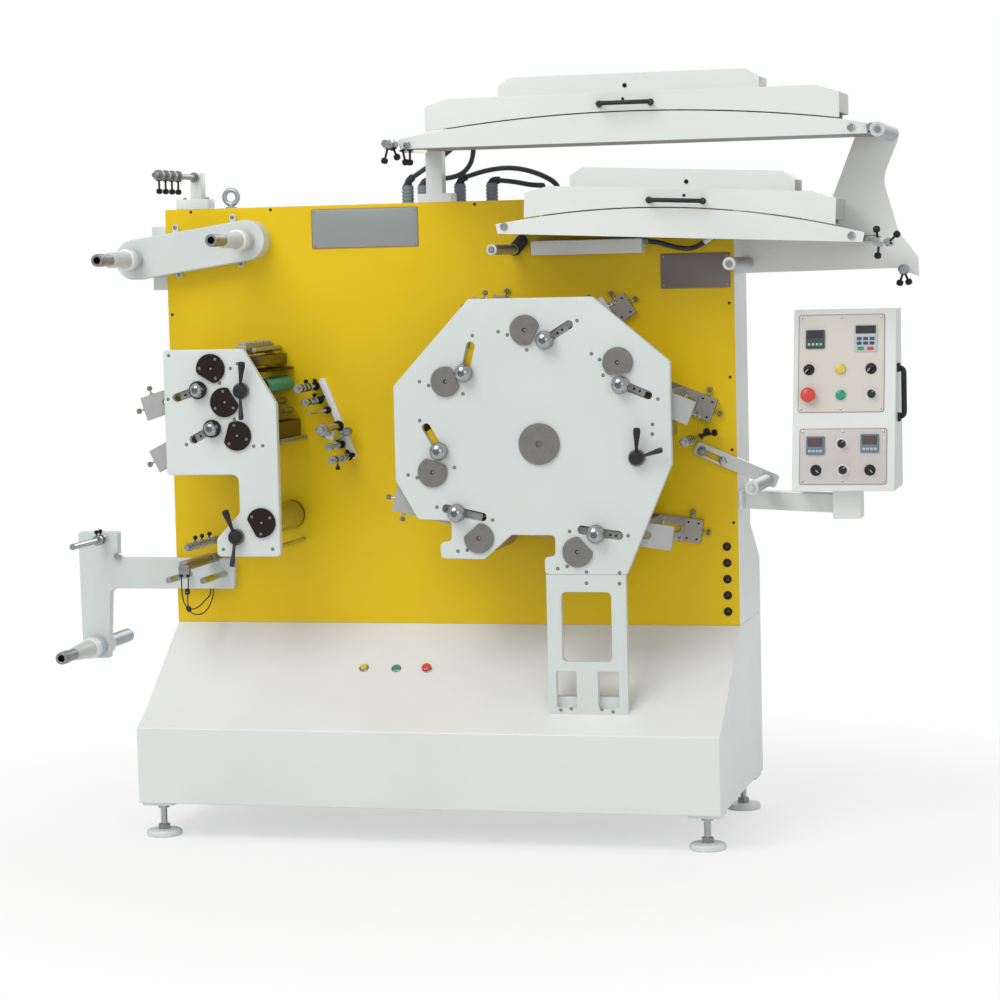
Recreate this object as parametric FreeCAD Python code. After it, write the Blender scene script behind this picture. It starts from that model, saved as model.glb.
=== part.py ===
"""Flexographic label printing press: six print stations round one drum, two more on a side frame.

The press stands on four levelling feet.  Lengths are in millimetres.  While it is drawn, x runs from
the left edge of the cabinet to the right, y from the front of the base to the back and z up from the
floor; each piece is then moved so that the origin is on the floor under the middle of the press.
"""
import FreeCAD, Part
import math
import os
from FreeCAD import Vector

# Cabinet: a deep base with a sloping front, and a shallower body with the main frame plate in front
CABINET_W = 1640.0
BASE_D = 713.0
BASE_BOTTOM = 100.0
BASE_STEP_Z = 311.0
BASE_BAND_Y = 83.0
BASE_BAND_Z = 357.0
SEAM_Z = 564.0
BODY_TOP = 1748.0
PANEL_Y = 358.0
PANEL_T = 20.0
BODY_BACK = 560.0
BODY_FLARE_LOW = 720.0
BODY_FLARE_HIGH = 830.0
GROMMET_R = 9.0
GROMMET_IN = 33.0
GROMMET_LOW = 603.0
GROMMET_PITCH = 45.0
GROMMETS = 5
PLATE_BEVEL = 2.0

# Levelling feet
FOOT_PAD_R = 50.0
FOOT_PAD_T = 18.0
FOOT_STEM_R = 9.0
FOOT_NUT_R = 18.0
FOOT_NUT_T = 14.0
FOOT_INSET_X = 48.0
FOOT_INSET_Y = 65.0
FOOT_PLATE = 90.0
FOOT_PLATE_T = 10.0

# Side plates that carry the print rollers
SIDE_Y = 80.0
SIDE_T = 20.0
SIDE_BACK = SIDE_Y + SIDE_T
CORNER_R = 12.0
BORE_GAP = 0.3
RUN_GAP = 6.0
END_GAP = 5.0
CAP_R = 41.0
CAP_T = 8.0
CAP_FLAT = 30.0
CAP_HOLE_R = 4.0
HUB_R = 56.0
SLOT_W = 24.0
STAY_R = 7.5

# Impression drum and the plate cylinders round it
HUB_X = CABINET_W - 490
HUB_Z = 1088.0
STATION_R = 308.0
PLATE_CYL_R = 48.0
DRUM_R = STATION_R - PLATE_CYL_R - RUN_GAP
DRUM_JOURNAL_R = 30.0
CYL_JOURNAL_R = 12.0
ROLLER_FRONT = 122.0
ROLLER_BACK = 340.0
JOURNAL_IN_PANEL = 12.0

# Each station: its bearing angle round the hub; from that centre its knob, the slot's two centres and its
# stay; the way its carriage slides, how far beside the knob it runs, and how far its plates reach
STATIONS = [
    dict(angle=96.1, knob=(56, -28), slot=((47, -33), (120, 12)), turn=32.0, shift=-17.0,
         front=190.0, rear=200.0, stay=(-62, -7)),
    dict(angle=44.5, knob=(8, -59), slot=((-1, -55), (79, -88)), turn=-22.0, shift=-6.0,
         front=201.0, rear=220.0, stay=(-61, 16)),
    dict(angle=146.3, knob=(53, 23), slot=((51, 13), (71, 95)), turn=76.0, shift=-2.0,
         front=203.0, rear=205.0, stay=(-62, -4)),
    dict(angle=194.0, knob=(21, 57), slot=((26, 48), (-16, 121)), turn=120.0, shift=3.0,
         front=194.0, rear=194.0, stay=(-60, -10)),
    dict(angle=235.7, knob=(-59, 69), slot=((-90, 80), (10, 57)), turn=167.0, shift=5.0,
         front=187.0, rear=187.0, stay=(-50, -35)),
    dict(angle=288.8, knob=(53, 49), slot=((12, 59), (113, 44)), turn=-8.0, shift=13.0,
         front=203.0, rear=239.0, stay=(-44, -43)),
]
# Corners of the octagonal plate from the hub, as shares of the stations' radius
OUTLINE_SHARES = [(-0.614, 1.273), (0.494, 1.273), (1.169, 0.705), (1.169, -0.185), (0.753, -1.149),
                  (0.023, -1.149), (0.023, -0.994), (0.120, -0.987), (0.120, -0.802), (-0.273, -0.799),
                  (-0.523, -1.013), (-0.919, -1.006), (-0.919, -0.864), (-0.815, -0.854), (-0.815, -0.672),
                  (-1.117, -0.659), (-1.315, -0.315), (-1.315, 0.519)]
IMPRESSION_OUTLINE = [(HUB_X + u * STATION_R, HUB_Z + v * STATION_R) for u, v in OUTLINE_SHARES]
STAY_BLOCK = dict(x=(HUB_X + STATION_R - 20, HUB_X + STATION_R + 17), z=(HUB_Z + 6, HUB_Z + 45))
TWO_COLOUR_STAYS = [(101, 1338), (290, 1309), (354, 1088), (243, 803), (387, 803)]

# Ink carriages of the stations: a front and a rear plate, slotted, with a roller and a tray between them
CHEEK_T = 12.0
CHEEK_W = 66.0
CHEEK_SLOT_W = 22.0
CHEEK_SLOT_IN = 70.0
CHEEK_SLOT_FROM = 42.0
CHEEK_EDGE = 6.0
CHEEK_BACK_U = 15.0
INK_ROLLER_R = 25.0
INK_JOURNAL_R = 8.0
TRAY_WALL = 5.0
TRAY_SHORT = 80.0
BLOCK_L = 50.0
BLOCK_T = 18.0
THUMB_IN = 32.0
THUMB_SEAT = 8.0
THUMB_STEM_R = 3.0
THUMB_R = 7.5
THUMB_T = 10.0
THUMB_STEM_L = 16.0

# Locking knobs
KNOB_R = 25.0
KNOB_COLLAR_T = 14.0
KNOB_STUD_R = 7.0
KNOB_GAP = 4.0

# Side plate of the two-colour unit
TWO_ROLLER_R = 46.0
TWO_CENTRES = [(223, 1303), (261, 1210), (294, 1117)]
TWO_STATIONS = [
    dict(centre=(223, 1303), knob=(-35, -58), slot=((-25, -55), (-103, -79)), turn=197.2, shift=0.0,
         front=181.0, rear=181.0, thumb=-1),
    dict(centre=(294, 1117), knob=(-68, 21), slot=((-59, 25), (-128, -9)), turn=206.6, shift=0.0,
         front=207.0, rear=207.0, thumb=0),
]
TWO_COLOUR_OUTLINE = [(84, 1356), (316, 1356), (409, 1204), (409, 782), (225, 782), (225, 831), (294, 903),
                      (294, 1009, 20), (84, 1009)]
RUBBER_ROLLER = (356.0, 1251.0)
RUBBER_ROLLER_R = 21.0
TRAY_BOXES = [dict(x=(316.0, 352.0), z=(1306.0, 1334.0)), dict(x=(346.0, 388.0), z=(1100.0, 1148.0))]
TRAY_FRONT = 125.0
TRAY_RODS = [(334.0, 1350.0), (403.0, 1096.0)]
TRAY_ROD_R = 7.0
RIBBED_BLOCK = dict(x=(284.0, 312.0), z=(1338.0, 1372.0))
SCRAPER_PINS = [(343.0, 1200.0), (362.0, 1174.0)]
SCRAPER_PIN_R = 7.0
SCRAPER_PIN_L = 75.0
DRAW_CENTRE = (357, 876)
DRAW_R = 42.0

# Hand levers on the plates
LEVER_HUB_R = 23.0
LEVER_HUB_T = 26.0
LEVER_ROD_R = 6.0
LEVER_GRIP_R = 10.0
LEVER_GRIP_L = 34.0
LEVER_PIN_R = 9.0
LEVER_GAP = 1.0
LEVER_LEAN = 18.0
LEVERS = [
    dict(node="impression_lever", hub=(HUB_X + STATION_R - 41, HUB_Z - 39),
         grips=[(HUB_X + STATION_R - 34, HUB_Z + 42), (HUB_X + STATION_R + 33, HUB_Z - 16)]),
    dict(node="two_colour_lever", hub=(311, 1241), grips=[(325, 1321), (318, 1163)]),
    dict(node="draw_roller_lever", hub=(284, 837), grips=[(262, 913), (278, 757)]),
]

# Support stand under the drum unit
STAND_X0 = HUB_X + 10
STAND_X1 = HUB_X + 229
STAND_Z0 = 349.0
STAND_Z1 = IMPRESSION_OUTLINE[4][1]
STAND_FOOT_TOP = 400.0
STAND_FOOT_D = 60.0
STAND_FOOT_IN = 8.0
STAND_WINDOWS = [dict(x=(40, 178), z=(499, 688), r=14), dict(x=(22, 78), z=(373, 473), r=6),
                 dict(x=(137, 195), z=(373, 473), r=6)]

# Unwind arm and its spindles
UNWIND_Y = 298.0
UNWIND_LEFT = (-76, 1608)
UNWIND_RIGHT = (258, 1655)
UNWIND_HALF_W = 57.0
UNWIND_LUGS = [((32, 1697), (35, 1670)), ((205, 1722), (208, 1695)), ((227, 1589), (224, 1612)),
               ((39, 1562), (36, 1588))]
UNWIND_LUG_W = 18.0
UNWIND_LUG_T = 10.0
BACKING_OUT = 42.0
BACKING_T = 30.0
BACKING_Z = (1520.0, 1701.0)
SPINDLE_L = 283.0
SPINDLE_R = 24.0
SPINDLE_NOSE_R = 17.0
SPINDLE_BORE_R = 7.0
SPINDLE_JOURNAL_R = 14.0
SPINDLE_SEAT_D = 40.0
SPINDLE_NOSE_L = 70.0
SPINDLE_TAPER_L = 20.0
SPINDLE_FLANGE_IN = 50.0
SPINDLE_FLANGE_T = 20.0
SPINDLE_TAIL_R = 20.0

# Rewind bracket at the lower left
REWIND_T = 26.0
REWIND_AXIS = (-238, 496)
REWIND_LEFT = -291.0
REWIND_OUTLINE = [(REWIND_LEFT, 826, 6), (-168, 827, 6), (-170, 752, 15), (186, 750, 6), (181, 663, 6),
                  (-196, 662, 20), (-207, 459, 6), (-288, 457, 6)]
REWIND_BOSS_R = 32.0
REWIND_BOSS_T = 30.0
REWIND_TAIL_Y = 560.0

# Dryer hoods
HOOD_Y = 130.0
HOOD_D = PANEL_Y - HOOD_Y
HOOD_PLATE_T = 6.0
HOOD_SHEET = 3.0
HOOD_TIP_Z = 20.0
HOOD_END_Z = 41.0
HOOD_RISE_Z = 79.0
HOOD_END_IN = 80.0
LID_END_H = 71.0
LID_CREST_H = 90.0
LID_CREST_IN = 65.0
LID_GAP = 3.0
LID_BOX_H = 52.0
LID_BOX_BEVEL = 35.0
LID_BOX_SET_BACK = 28.0
LID_BOX_D = 130.0
LID_D = 190.0
WEB_SLOT_H = 14.0
LID_CORNER_L = 16.0
HINGE_R = 7.0
HINGE_PIN_R = 3.5
HINGE_L = 60.0
HINGE_LUG_T = 8.0
HINGE_Y = 336.0
HINGE_Z = 92.0
HINGE_OUT = 260.0
HINGE_PLAY = 1.0
UPPER_HOOD = dict(x0=CABINET_W - 880, x1=CABINET_W + 403, z=1889.0, tilt=0.0,
                  box=(CABINET_W - 602, CABINET_W + 109), handle=(CABINET_W - 325, CABINET_W - 170))
LOWER_HOOD = dict(x0=CABINET_W - 614, x1=CABINET_W + 387, z=1630.0, tilt=-2.7,
                  box=(CABINET_W - 416, CABINET_W + 193), handle=(CABINET_W - 192, CABINET_W - 39))
HANDLE_R = 6.0
HANDLE_OUT = 32.0
HANDLE_UP = 55.0

# Hood bracket and post
BRACKET_T = 12.0
BRACKET_RIGHT = CABINET_W + 501
BRACKET_LOW = 1531.0
BRACKET_HIGH = 1700.0
BRACKET_OUTLINE = [(CABINET_W, BRACKET_LOW), (CABINET_W + 441, 1536), (BRACKET_RIGHT, 1513),
                   (BRACKET_RIGHT - 2, 1566, 8), (CABINET_W + 447, 1634, 60), (CABINET_W + 407, 1778, 80),
                   (CABINET_W + 448, 1877, 6), (CABINET_W + 450, 1906, 8), (CABINET_W + 412, 1926, 8),
                   (CABINET_W + 340, 1905, 8), (CABINET_W + 275, 1739), (CABINET_W + 240, BRACKET_HIGH),
                   (CABINET_W, BRACKET_HIGH)]
BRACKET_FLANGE_D = 120.0
POST_IN = 15.0
POST_WIDTH = 47.0
POST_D = 42.0
POST_HEAD = 18.0
POST_FOOT_SIDE = 25.0
POST_FOOT_BACK = 20.0
POST_FOOT_T = 24.0

# Guide rollers on fixed shafts
GUIDE_SHAFT_R = 8.0
UPPER_ROLLER = (CABINET_W + 434, 1895.0)
UPPER_ROLLER_R = 26.0
LOWER_ROLLER = (CABINET_W - 613, 1611.0)
LOWER_ROLLER_R = 16.0
PANEL_ROLLER = (CABINET_W + 39, 1559.0)
PANEL_ROLLER_R = 20.0
SWING_ROLLER = (CABINET_W + 82, 966.0)
SWING_ROLLER_R = 23.0
SWING_OUTLINE = [(CABINET_W - 105, 1075, 10), (CABINET_W + 117, 979, 10), (CABINET_W + 104, 943, 10),
                 (CABINET_W - 125, 1042, 10)]
SWING_SLOT = ((CABINET_W - 96, 1047), (CABINET_W - 45, 1024))
SWING_SLOT_W = 16.0
SWING_T = 12.0
UPPER_FRONT = 20.0
LOWER_FRONT = 90.0
PANEL_FRONT = 45.0
SWING_FRONT = 90.0
SHAFT_PROUD = 6.0
ROLLER_SIDE_GAP = 8.0
LOWER_ARM_W = 34.0
LOWER_ARM_T = 10.0
LOWER_ARM_RISE = (20, 22)

# Guide rods on the rewind bracket and the panel; each collar has a thumb screw
GUIDE_RODS = [
    dict(x=-209, z=807, front=90, back=PANEL_Y - REWIND_T, r=7, rings=(150, 190), drop=(0, 1)),
    dict(x=48, z=706, front=160, back=PANEL_Y - REWIND_T, r=9, rings=(), drop=(0, 0)),
    dict(x=154, z=706, front=150, back=PANEL_Y - REWIND_T, r=9, rings=(), drop=(0, 0)),
    dict(x=134, z=780, front=80, back=PANEL_Y, r=7, rings=(110, 150, 190), drop=(0, 1)),
]
RING_HALF_T = 6.0
RING_PROUD = 6.0
SENSOR_X = (104.0, 144.0)
SENSOR_Y = (78.0, 98.0)
SENSOR_Z = (727.0, 776.0)
WEB_BAR = ((470, 1250), (548, 1045))
WEB_BAR_W = 26.0
WEB_BAR_T = 12.0
WEB_RODS = [(440, 1240), (474, 1172), (505, 1110), (534, 1040)]
WEB_ROD_R = 6.0
WEB_ROD_FRONT = 160.0
WEB_RINGS = (180.0, 215.0)
THREAD_FOOT_X = (34.0, 130.0)
THREAD_FOOT_T = 28.0
THREAD_POST_X = (74.0, 107.0)
THREAD_POST_TOP = 1850.0
THREAD_ROD = dict(x=90, z=1838, front=45, back=PANEL_Y + 30, r=7, rings=(80, 130, 180, 230, 280), drop=(0, -1))

# Lifting eyebolt
EYE_PLACE = (170.0, 445.0)
EYE_RING_R = 21.0
EYE_WIRE_R = 6.0
EYE_SHANK_R = 9.0
EYE_SHANK_H = 12.0

# Glands on the body top
GLAND_Y = 465.0
GLANDS_X = [CABINET_W - 948, CABINET_W - 902, CABINET_W - 795, CABINET_W - 702]
GLAND_R = 15.0
GLAND_H = 50.0
GLAND_RIBS = 4
GLAND_RIB_PROUD = 2.0
ELBOW_R = 11.0
BED_GLAND_R = 10.0
BED_GLAND_SINK = 12.5

# Control box and its arm
BOX_X0 = CABINET_W + 175
BOX_X1 = BOX_X0 + 274
BOX_Y = 180.0
BOX_Z0 = 949.0
BOX_Z1 = 1430.0
BOX_TOP_D = 100.0
BOX_BOTTOM_D = 200.0
ARM_START_Y = 430.0
ARM_END = (CABINET_W + 315, 265.0)
ARM_H = 50.0
ARM_W = 55.0
ARM_TOP = 935.0
ARM_PLATE_T = 10.0
ARM_PLATE_Y0 = 365.0
ARM_PLATE_Y1 = 545.0
BLOCK_UNDER_W = 76.0
BLOCK_UNDER_D = 70.0
BLOCK_UNDER_DROP = 14.0
GRIP_R = 9.0
GRIP_OUT = 26.0
GRIP_Z = (1128.0, 1284.0)
GRIP_END = 12.0
GRIP_Y = 290.0

# Flat heater box under the lower dryer
HEATER_X = (CABINET_W - 554, CABINET_W - 244)
HEATER_Z = (1593.0, 1633.0)
HEATER_D = 60.0

# Buttons on the base slope
BUTTON_X = [610.0, 702.0, 790.0]
BUTTON_Z = 462.0
BUTTON_R = 14.0
BUTTON_T = 12.0

# Hoses from the glands to the dryers, and the two thin sensor cords: middle points from end to end, each x
# from the cabinet's side that the cord is set out from
HOSE_R = 7.5
SENSOR_CORD_R = 1.8
ARC_SHARE = 0.45
CORDS = {
    "upper_hose_1": dict(r=HOSE_R, x=CABINET_W, route=[
        (-931, 465, 1823), (-895, 463, 1845), (-860, 456, 1866), (-828, 444, 1885), (-802, 424, 1900),
        (-790, 396, 1911), (-787, 368, 1913)]),
    "upper_hose_2": dict(r=HOSE_R, x=CABINET_W, route=[
        (-882, 465, 1812), (-844, 456, 1815), (-806, 443, 1818), (-774, 436, 1830), (-752, 430, 1855),
        (-742, 422, 1885), (-737, 400, 1908), (-735, 368, 1914)]),
    "lower_hose_1": dict(r=HOSE_R, x=CABINET_W, route=[
        (-775, 465, 1819), (-737, 462, 1830), (-692, 454, 1838), (-647, 446, 1840), (-603, 437, 1834),
        (-562, 422, 1822), (-528, 402, 1808), (-501, 378, 1794), (-484, 357, 1775), (-477, 346, 1753),
        (-477, 346, 1733)]),
    "lower_hose_2": dict(r=HOSE_R, x=CABINET_W, route=[
        (-680, 465, 1806), (-652, 463, 1803), (-622, 457, 1798), (-590, 446, 1791), (-560, 428, 1788),
        (-540, 402, 1787), (-534, 375, 1784), (-530, 356, 1771), (-528, 346, 1751), (-528, 346, 1731)]),
    "heater_hose": dict(r=HOSE_R, x=CABINET_W, route=[
        (-228, 322, 1624), (-202, 322, 1621), (-174, 322, 1612), (-144, 322, 1604), (-116, 322, 1601),
        (-94, 322, 1606), (-75, 322, 1618)]),
    "sensor_cord_1": dict(r=SENSOR_CORD_R, x=0.0, route=[
        (114, 88, 727), (114, 88, 704), (113, 91, 682), (111, 102, 660), (109, 122, 642), (108, 150, 629),
        (108, 182, 622), (108, 214, 621), (108, 246, 624), (107, 277, 630), (106, 302, 635),
        (106, 324, 639), (106, 339, 646), (106, 346, 655), (106, 346, 662)]),
    "sensor_cord_2": dict(r=SENSOR_CORD_R, x=0.0, route=[
        (134, 88, 727), (134, 88, 704), (130, 92, 682), (125, 102, 660), (119, 118, 640), (115, 142, 622),
        (115, 170, 610), (117, 200, 604), (119, 230, 603), (120, 260, 607), (120, 288, 616),
        (118, 314, 628), (116, 334, 640), (114, 346, 652), (114, 346, 662)]),
}
GLAND_HOSES = ["upper_hose_1", "upper_hose_2", "lower_hose_1", "lower_hose_2"]
TOGGLES = [dict(start=(128.2, 94, 690), end=(126.8, 97.5, 674)),
           dict(start=(111.5, 140, 632), end=(111.5, 152, 622))]
TOGGLE_R = 7.5

ORIGIN_X = (REWIND_LEFT + BRACKET_RIGHT) / 2
ORIGIN_Y = BASE_D / 2

# Lengths closer than this count as the same
TINY = 0.001


def box(x0, x1, y0, y1, z0, z1):
    return Part.makeBox(x1 - x0, y1 - y0, z1 - z0, Vector(x0, y0, z0))


def rod(x, z, y0, y1, r):
    """A round bar along y."""
    return Part.makeCylinder(r, y1 - y0, Vector(x, y0, z), Vector(0, 1, 0))


def bar(start, end, r):
    """A round bar between two points."""
    a = Vector(*start)
    b = Vector(*end)
    return Part.makeCylinder(r, (b - a).Length, a, b - a)


def corner_cut(before, here, after, radius):
    """Where the rounding of a corner starts and ends, and the middle of its arc."""
    a = (before - here).normalize()
    b = (after - here).normalize()
    half = a.getAngle(b) / 2
    run = radius / math.tan(half)
    centre = here + (a + b).normalize() * (radius / math.sin(half))
    start = here + a * run
    end = here + b * run
    middle = centre + (here - centre).normalize() * radius
    return start, middle, end


def outline(points, radius=0.0):
    """A closed wire in the x-z plane; a point may carry its own corner radius as a third number."""
    spots = []
    for p in points:
        spots.append((Vector(p[0], 0, p[1]), p[2] if len(p) > 2 else radius))
    edges = []
    count = len(spots)
    corners = []
    for i, (here, r) in enumerate(spots):
        if r <= 0:
            corners.append((here, None, here))
            continue
        corners.append(corner_cut(spots[i - 1][0], here, spots[(i + 1) % count][0], r))
    for i, (start, middle, end) in enumerate(corners):
        if middle is not None:
            edges.append(Part.Arc(start, middle, end).toShape())
        following = corners[(i + 1) % count][0]
        if end.distanceToPoint(following) > TINY:
            edges.append(Part.LineSegment(end, following).toShape())
    return Part.Wire(edges)


def plate(points, y0, y1, radius=0.0, bevel=0.0):
    """A flat plate whose outline lies in the x-z plane; a bevel runs round its front edge."""
    face = Part.Face(outline(points, radius))
    face.translate(Vector(0, y0, 0))
    solid = face.extrude(Vector(0, y1 - y0, 0))
    if bevel:
        rim = [edge for edge in solid.Edges if edge.BoundBox.YMax < y0 + TINY]
        solid = solid.makeChamfer(bevel, rim)
    return solid


def window(x0, x1, z0, z1, y0, y1, radius):
    """A rounded window to cut through a plate."""
    return plate([(x0, z0), (x1, z0), (x1, z1), (x0, z1)], y0 - 1, y1 + 1, radius)


def slot(a, b, width, y0, y1):
    """A round-ended slot between two centres."""
    start = Vector(a[0], 0, a[1])
    end = Vector(b[0], 0, b[1])
    along = (end - start).normalize()
    side = Vector(-along.z, 0, along.x) * (width / 2)
    face = Part.Face(Part.Wire([
        Part.LineSegment(start + side, end + side).toShape(),
        Part.Arc(end + side, end + along * (width / 2), end - side).toShape(),
        Part.LineSegment(end - side, start - side).toShape(),
        Part.Arc(start - side, start - along * (width / 2), start + side).toShape(),
    ]))
    face.translate(Vector(0, y0, 0))
    return face.extrude(Vector(0, y1 - y0, 0))


def fused(solids):
    shape = solids[0]
    for other in solids[1:]:
        shape = shape.fuse(other)
    return shape.removeSplitter()


def cut(shape, tools):
    for tool in tools:
        shape = shape.cut(tool)
    return shape


def turned(shape, centre, degrees):
    """The shape turned in the x-z plane, from x towards z, about a centre."""
    moved = shape.copy()
    moved.rotate(Vector(centre[0], 0, centre[1]), Vector(0, -1, 0), degrees)
    return moved


def placed(shape, x, z, degrees):
    """A shape drawn round the origin, turned and then moved to a place on a plate."""
    moved = turned(shape, (0, 0), degrees)
    moved.translate(Vector(x, 0, z))
    return moved


def revolved(profile, x, z):
    """A turned piece along y: the profile lists radius and y."""
    points = [Vector(r, y, 0) for r, y in profile]
    wire = Part.makePolygon(points + [points[0]])
    solid = Part.Face(wire).revolve(Vector(0, 0, 0), Vector(0, 1, 0), 360)
    solid.translate(Vector(x, 0, z))
    return solid


def station_centre(station):
    if "centre" in station:
        return station["centre"]
    angle = math.radians(station["angle"])
    return (HUB_X + STATION_R * math.cos(angle), HUB_Z + STATION_R * math.sin(angle))


def at_station(station, offset):
    """A place given from the station's centre."""
    x, z = station_centre(station)
    return (x + offset[0], z + offset[1])


def station_slot(station):
    a, b = station["slot"]
    return slot(at_station(station, a), at_station(station, b), SLOT_W, SIDE_Y - 1, SIDE_BACK + 1)


def base_cabinet():
    """The base: an upright front, a narrow slanted band and a slope up to the body."""
    profile = [(0, BASE_BOTTOM), (0, BASE_STEP_Z), (BASE_BAND_Y, BASE_BAND_Z), (PANEL_Y, SEAM_Z),
               (BASE_D, SEAM_Z), (BASE_D, BASE_BOTTOM)]
    wire = Part.makePolygon([Vector(0, y, z) for y, z in profile + profile[:1]])
    return Part.Face(wire).extrude(Vector(CABINET_W, 0, 0))


def body_cabinet():
    front = PANEL_Y + PANEL_T
    profile = [(front, SEAM_Z), (BASE_D, SEAM_Z), (BASE_D, BODY_FLARE_LOW), (BODY_BACK, BODY_FLARE_HIGH),
               (BODY_BACK, BODY_TOP), (front, BODY_TOP)]
    wire = Part.makePolygon([Vector(0, y, z) for y, z in profile + profile[:1]])
    return Part.Face(wire).extrude(Vector(CABINET_W, 0, 0))


def journal_hole(x, z, r, depth=PANEL_T):
    return rod(x, z, PANEL_Y - 1, PANEL_Y + depth, r + BORE_GAP)


def front_panel():
    shape = box(0, CABINET_W, PANEL_Y, PANEL_Y + PANEL_T, SEAM_Z, BODY_TOP)
    holes = [rod(CABINET_W - GROMMET_IN, GROMMET_LOW + i * GROMMET_PITCH, PANEL_Y - 1, PANEL_Y + PANEL_T + 1,
                 GROMMET_R) for i in range(GROMMETS)]
    holes.append(journal_hole(HUB_X, HUB_Z, DRUM_JOURNAL_R))
    for station in STATIONS:
        x, z = station_centre(station)
        holes.append(journal_hole(x, z, CYL_JOURNAL_R))
    for x, z in TWO_CENTRES + [DRAW_CENTRE]:
        holes.append(journal_hole(x, z, CYL_JOURNAL_R))
    return cut(shape, holes)


def levelling_feet():
    feet = []
    for x in (FOOT_INSET_X, CABINET_W - FOOT_INSET_X):
        for y in (FOOT_INSET_Y, BASE_D - FOOT_INSET_Y):
            pad = Part.makeCylinder(FOOT_PAD_R, FOOT_PAD_T, Vector(x, y, 0))
            stem = Part.makeCylinder(FOOT_STEM_R, BASE_BOTTOM - FOOT_PLATE_T, Vector(x, y, 0))
            nut = Part.makeCylinder(FOOT_NUT_R, FOOT_NUT_T, Vector(x, y, FOOT_PAD_T))
            top = box(x - FOOT_PLATE / 2, x + FOOT_PLATE / 2, y - FOOT_PLATE / 2, y + FOOT_PLATE / 2,
                      BASE_BOTTOM - FOOT_PLATE_T, BASE_BOTTOM)
            feet.append(fused([pad, stem, nut, top]))
    return Part.makeCompound(feet)


def impression_side_plate():
    """The octagonal front plate of the drum unit, notched below, with bearing bores and knob slots."""
    shape = plate(IMPRESSION_OUTLINE, SIDE_Y, SIDE_BACK, CORNER_R, PLATE_BEVEL)
    holes = [rod(HUB_X, HUB_Z, SIDE_Y - 1, SIDE_BACK + 1, DRUM_JOURNAL_R + BORE_GAP),
             rod(LEVERS[0]["hub"][0], LEVERS[0]["hub"][1], SIDE_Y - 1, SIDE_BACK + 1, LEVER_PIN_R + BORE_GAP)]
    for station in STATIONS:
        x, z = station_centre(station)
        holes.append(rod(x, z, SIDE_Y - 1, SIDE_BACK + 1, CYL_JOURNAL_R + BORE_GAP))
        holes.append(station_slot(station))
    return cut(shape, holes)


def two_colour_side_plate():
    shape = plate(TWO_COLOUR_OUTLINE, SIDE_Y, SIDE_BACK, CORNER_R, PLATE_BEVEL)
    holes = []
    for x, z in TWO_CENTRES + [DRAW_CENTRE]:
        holes.append(rod(x, z, SIDE_Y - 1, SIDE_BACK + 1, CYL_JOURNAL_R + BORE_GAP))
    for lever in LEVERS[1:]:
        holes.append(rod(lever["hub"][0], lever["hub"][1], SIDE_Y - 1, SIDE_BACK + 1, LEVER_PIN_R + BORE_GAP))
    for lock in TWO_STATIONS:
        holes.append(station_slot(lock))
    return cut(shape, holes)


def support_stand():
    """The window-shaped stand from the base band up to the drum unit's plate."""
    outer = plate([(STAND_X0, STAND_Z0), (STAND_X1, STAND_Z0), (STAND_X1, STAND_Z1), (STAND_X0, STAND_Z1)],
                  SIDE_Y, SIDE_BACK)
    windows = [window(STAND_X0 + w["x"][0], STAND_X0 + w["x"][1], *w["z"], SIDE_Y, SIDE_BACK, w["r"])
               for w in STAND_WINDOWS]
    shape = cut(outer, windows)
    foot = box(STAND_X0 + STAND_FOOT_IN, STAND_X1 - STAND_FOOT_IN, SIDE_BACK, SIDE_BACK + STAND_FOOT_D,
               STAND_Z0, STAND_FOOT_TOP)
    return fused([shape, foot]).cut(base_cabinet())


def stay_bars():
    places = [at_station(station, station["stay"]) for station in STATIONS] + TWO_COLOUR_STAYS
    stays = [rod(x, z, SIDE_BACK, PANEL_Y, STAY_R) for x, z in places]
    stays.append(box(*STAY_BLOCK["x"], SIDE_BACK, PANEL_Y, *STAY_BLOCK["z"]))
    return Part.makeCompound(stays)


def cap(x, z, r, flat_angle=None):
    shape = rod(x, z, SIDE_Y - CAP_T, SIDE_Y, r)
    shape = shape.cut(rod(x, z, SIDE_Y - CAP_T - 1, SIDE_Y + 1, CAP_HOLE_R))
    if flat_angle is not None:
        block = box(CAP_FLAT, 2 * r, SIDE_Y - CAP_T - 1, SIDE_Y + 1, -r, r)
        shape = shape.cut(placed(block, x, z, flat_angle))
    return shape


def bearing_caps():
    """A round cap on each bearing, cut flat where a knob or a lever stands close."""
    caps = [cap(HUB_X, HUB_Z, HUB_R)]
    close = []
    for station in STATIONS + TWO_STATIONS:
        close.append((station_centre(station), at_station(station, station["knob"])))
    close.append((TWO_CENTRES[1], LEVERS[1]["hub"]))
    close.append((DRAW_CENTRE, LEVERS[2]["hub"]))
    for (x, z), (kx, kz) in close:
        caps.append(cap(x, z, CAP_R, math.degrees(math.atan2(kz - z, kx - x))))
    return Part.makeCompound(caps)


def knob(x, z):
    """A domed knob on a knurled collar, on a stud through its slot."""
    front = SIDE_Y - KNOB_GAP
    collar = front - KNOB_COLLAR_T
    dome = KNOB_R * 0.85
    return fused([
        revolved([(0, front), (KNOB_R, front), (KNOB_R, collar), (dome, collar - 4), (dome * 0.8, collar - 14),
                  (dome * 0.4, collar - 20), (0, collar - 21)], x, z),
        rod(x, z, front - 1, SIDE_BACK, KNOB_STUD_R),
    ])


def locking_knobs():
    return Part.makeCompound([knob(*at_station(lock, lock["knob"])) for lock in STATIONS + TWO_STATIONS])


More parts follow.
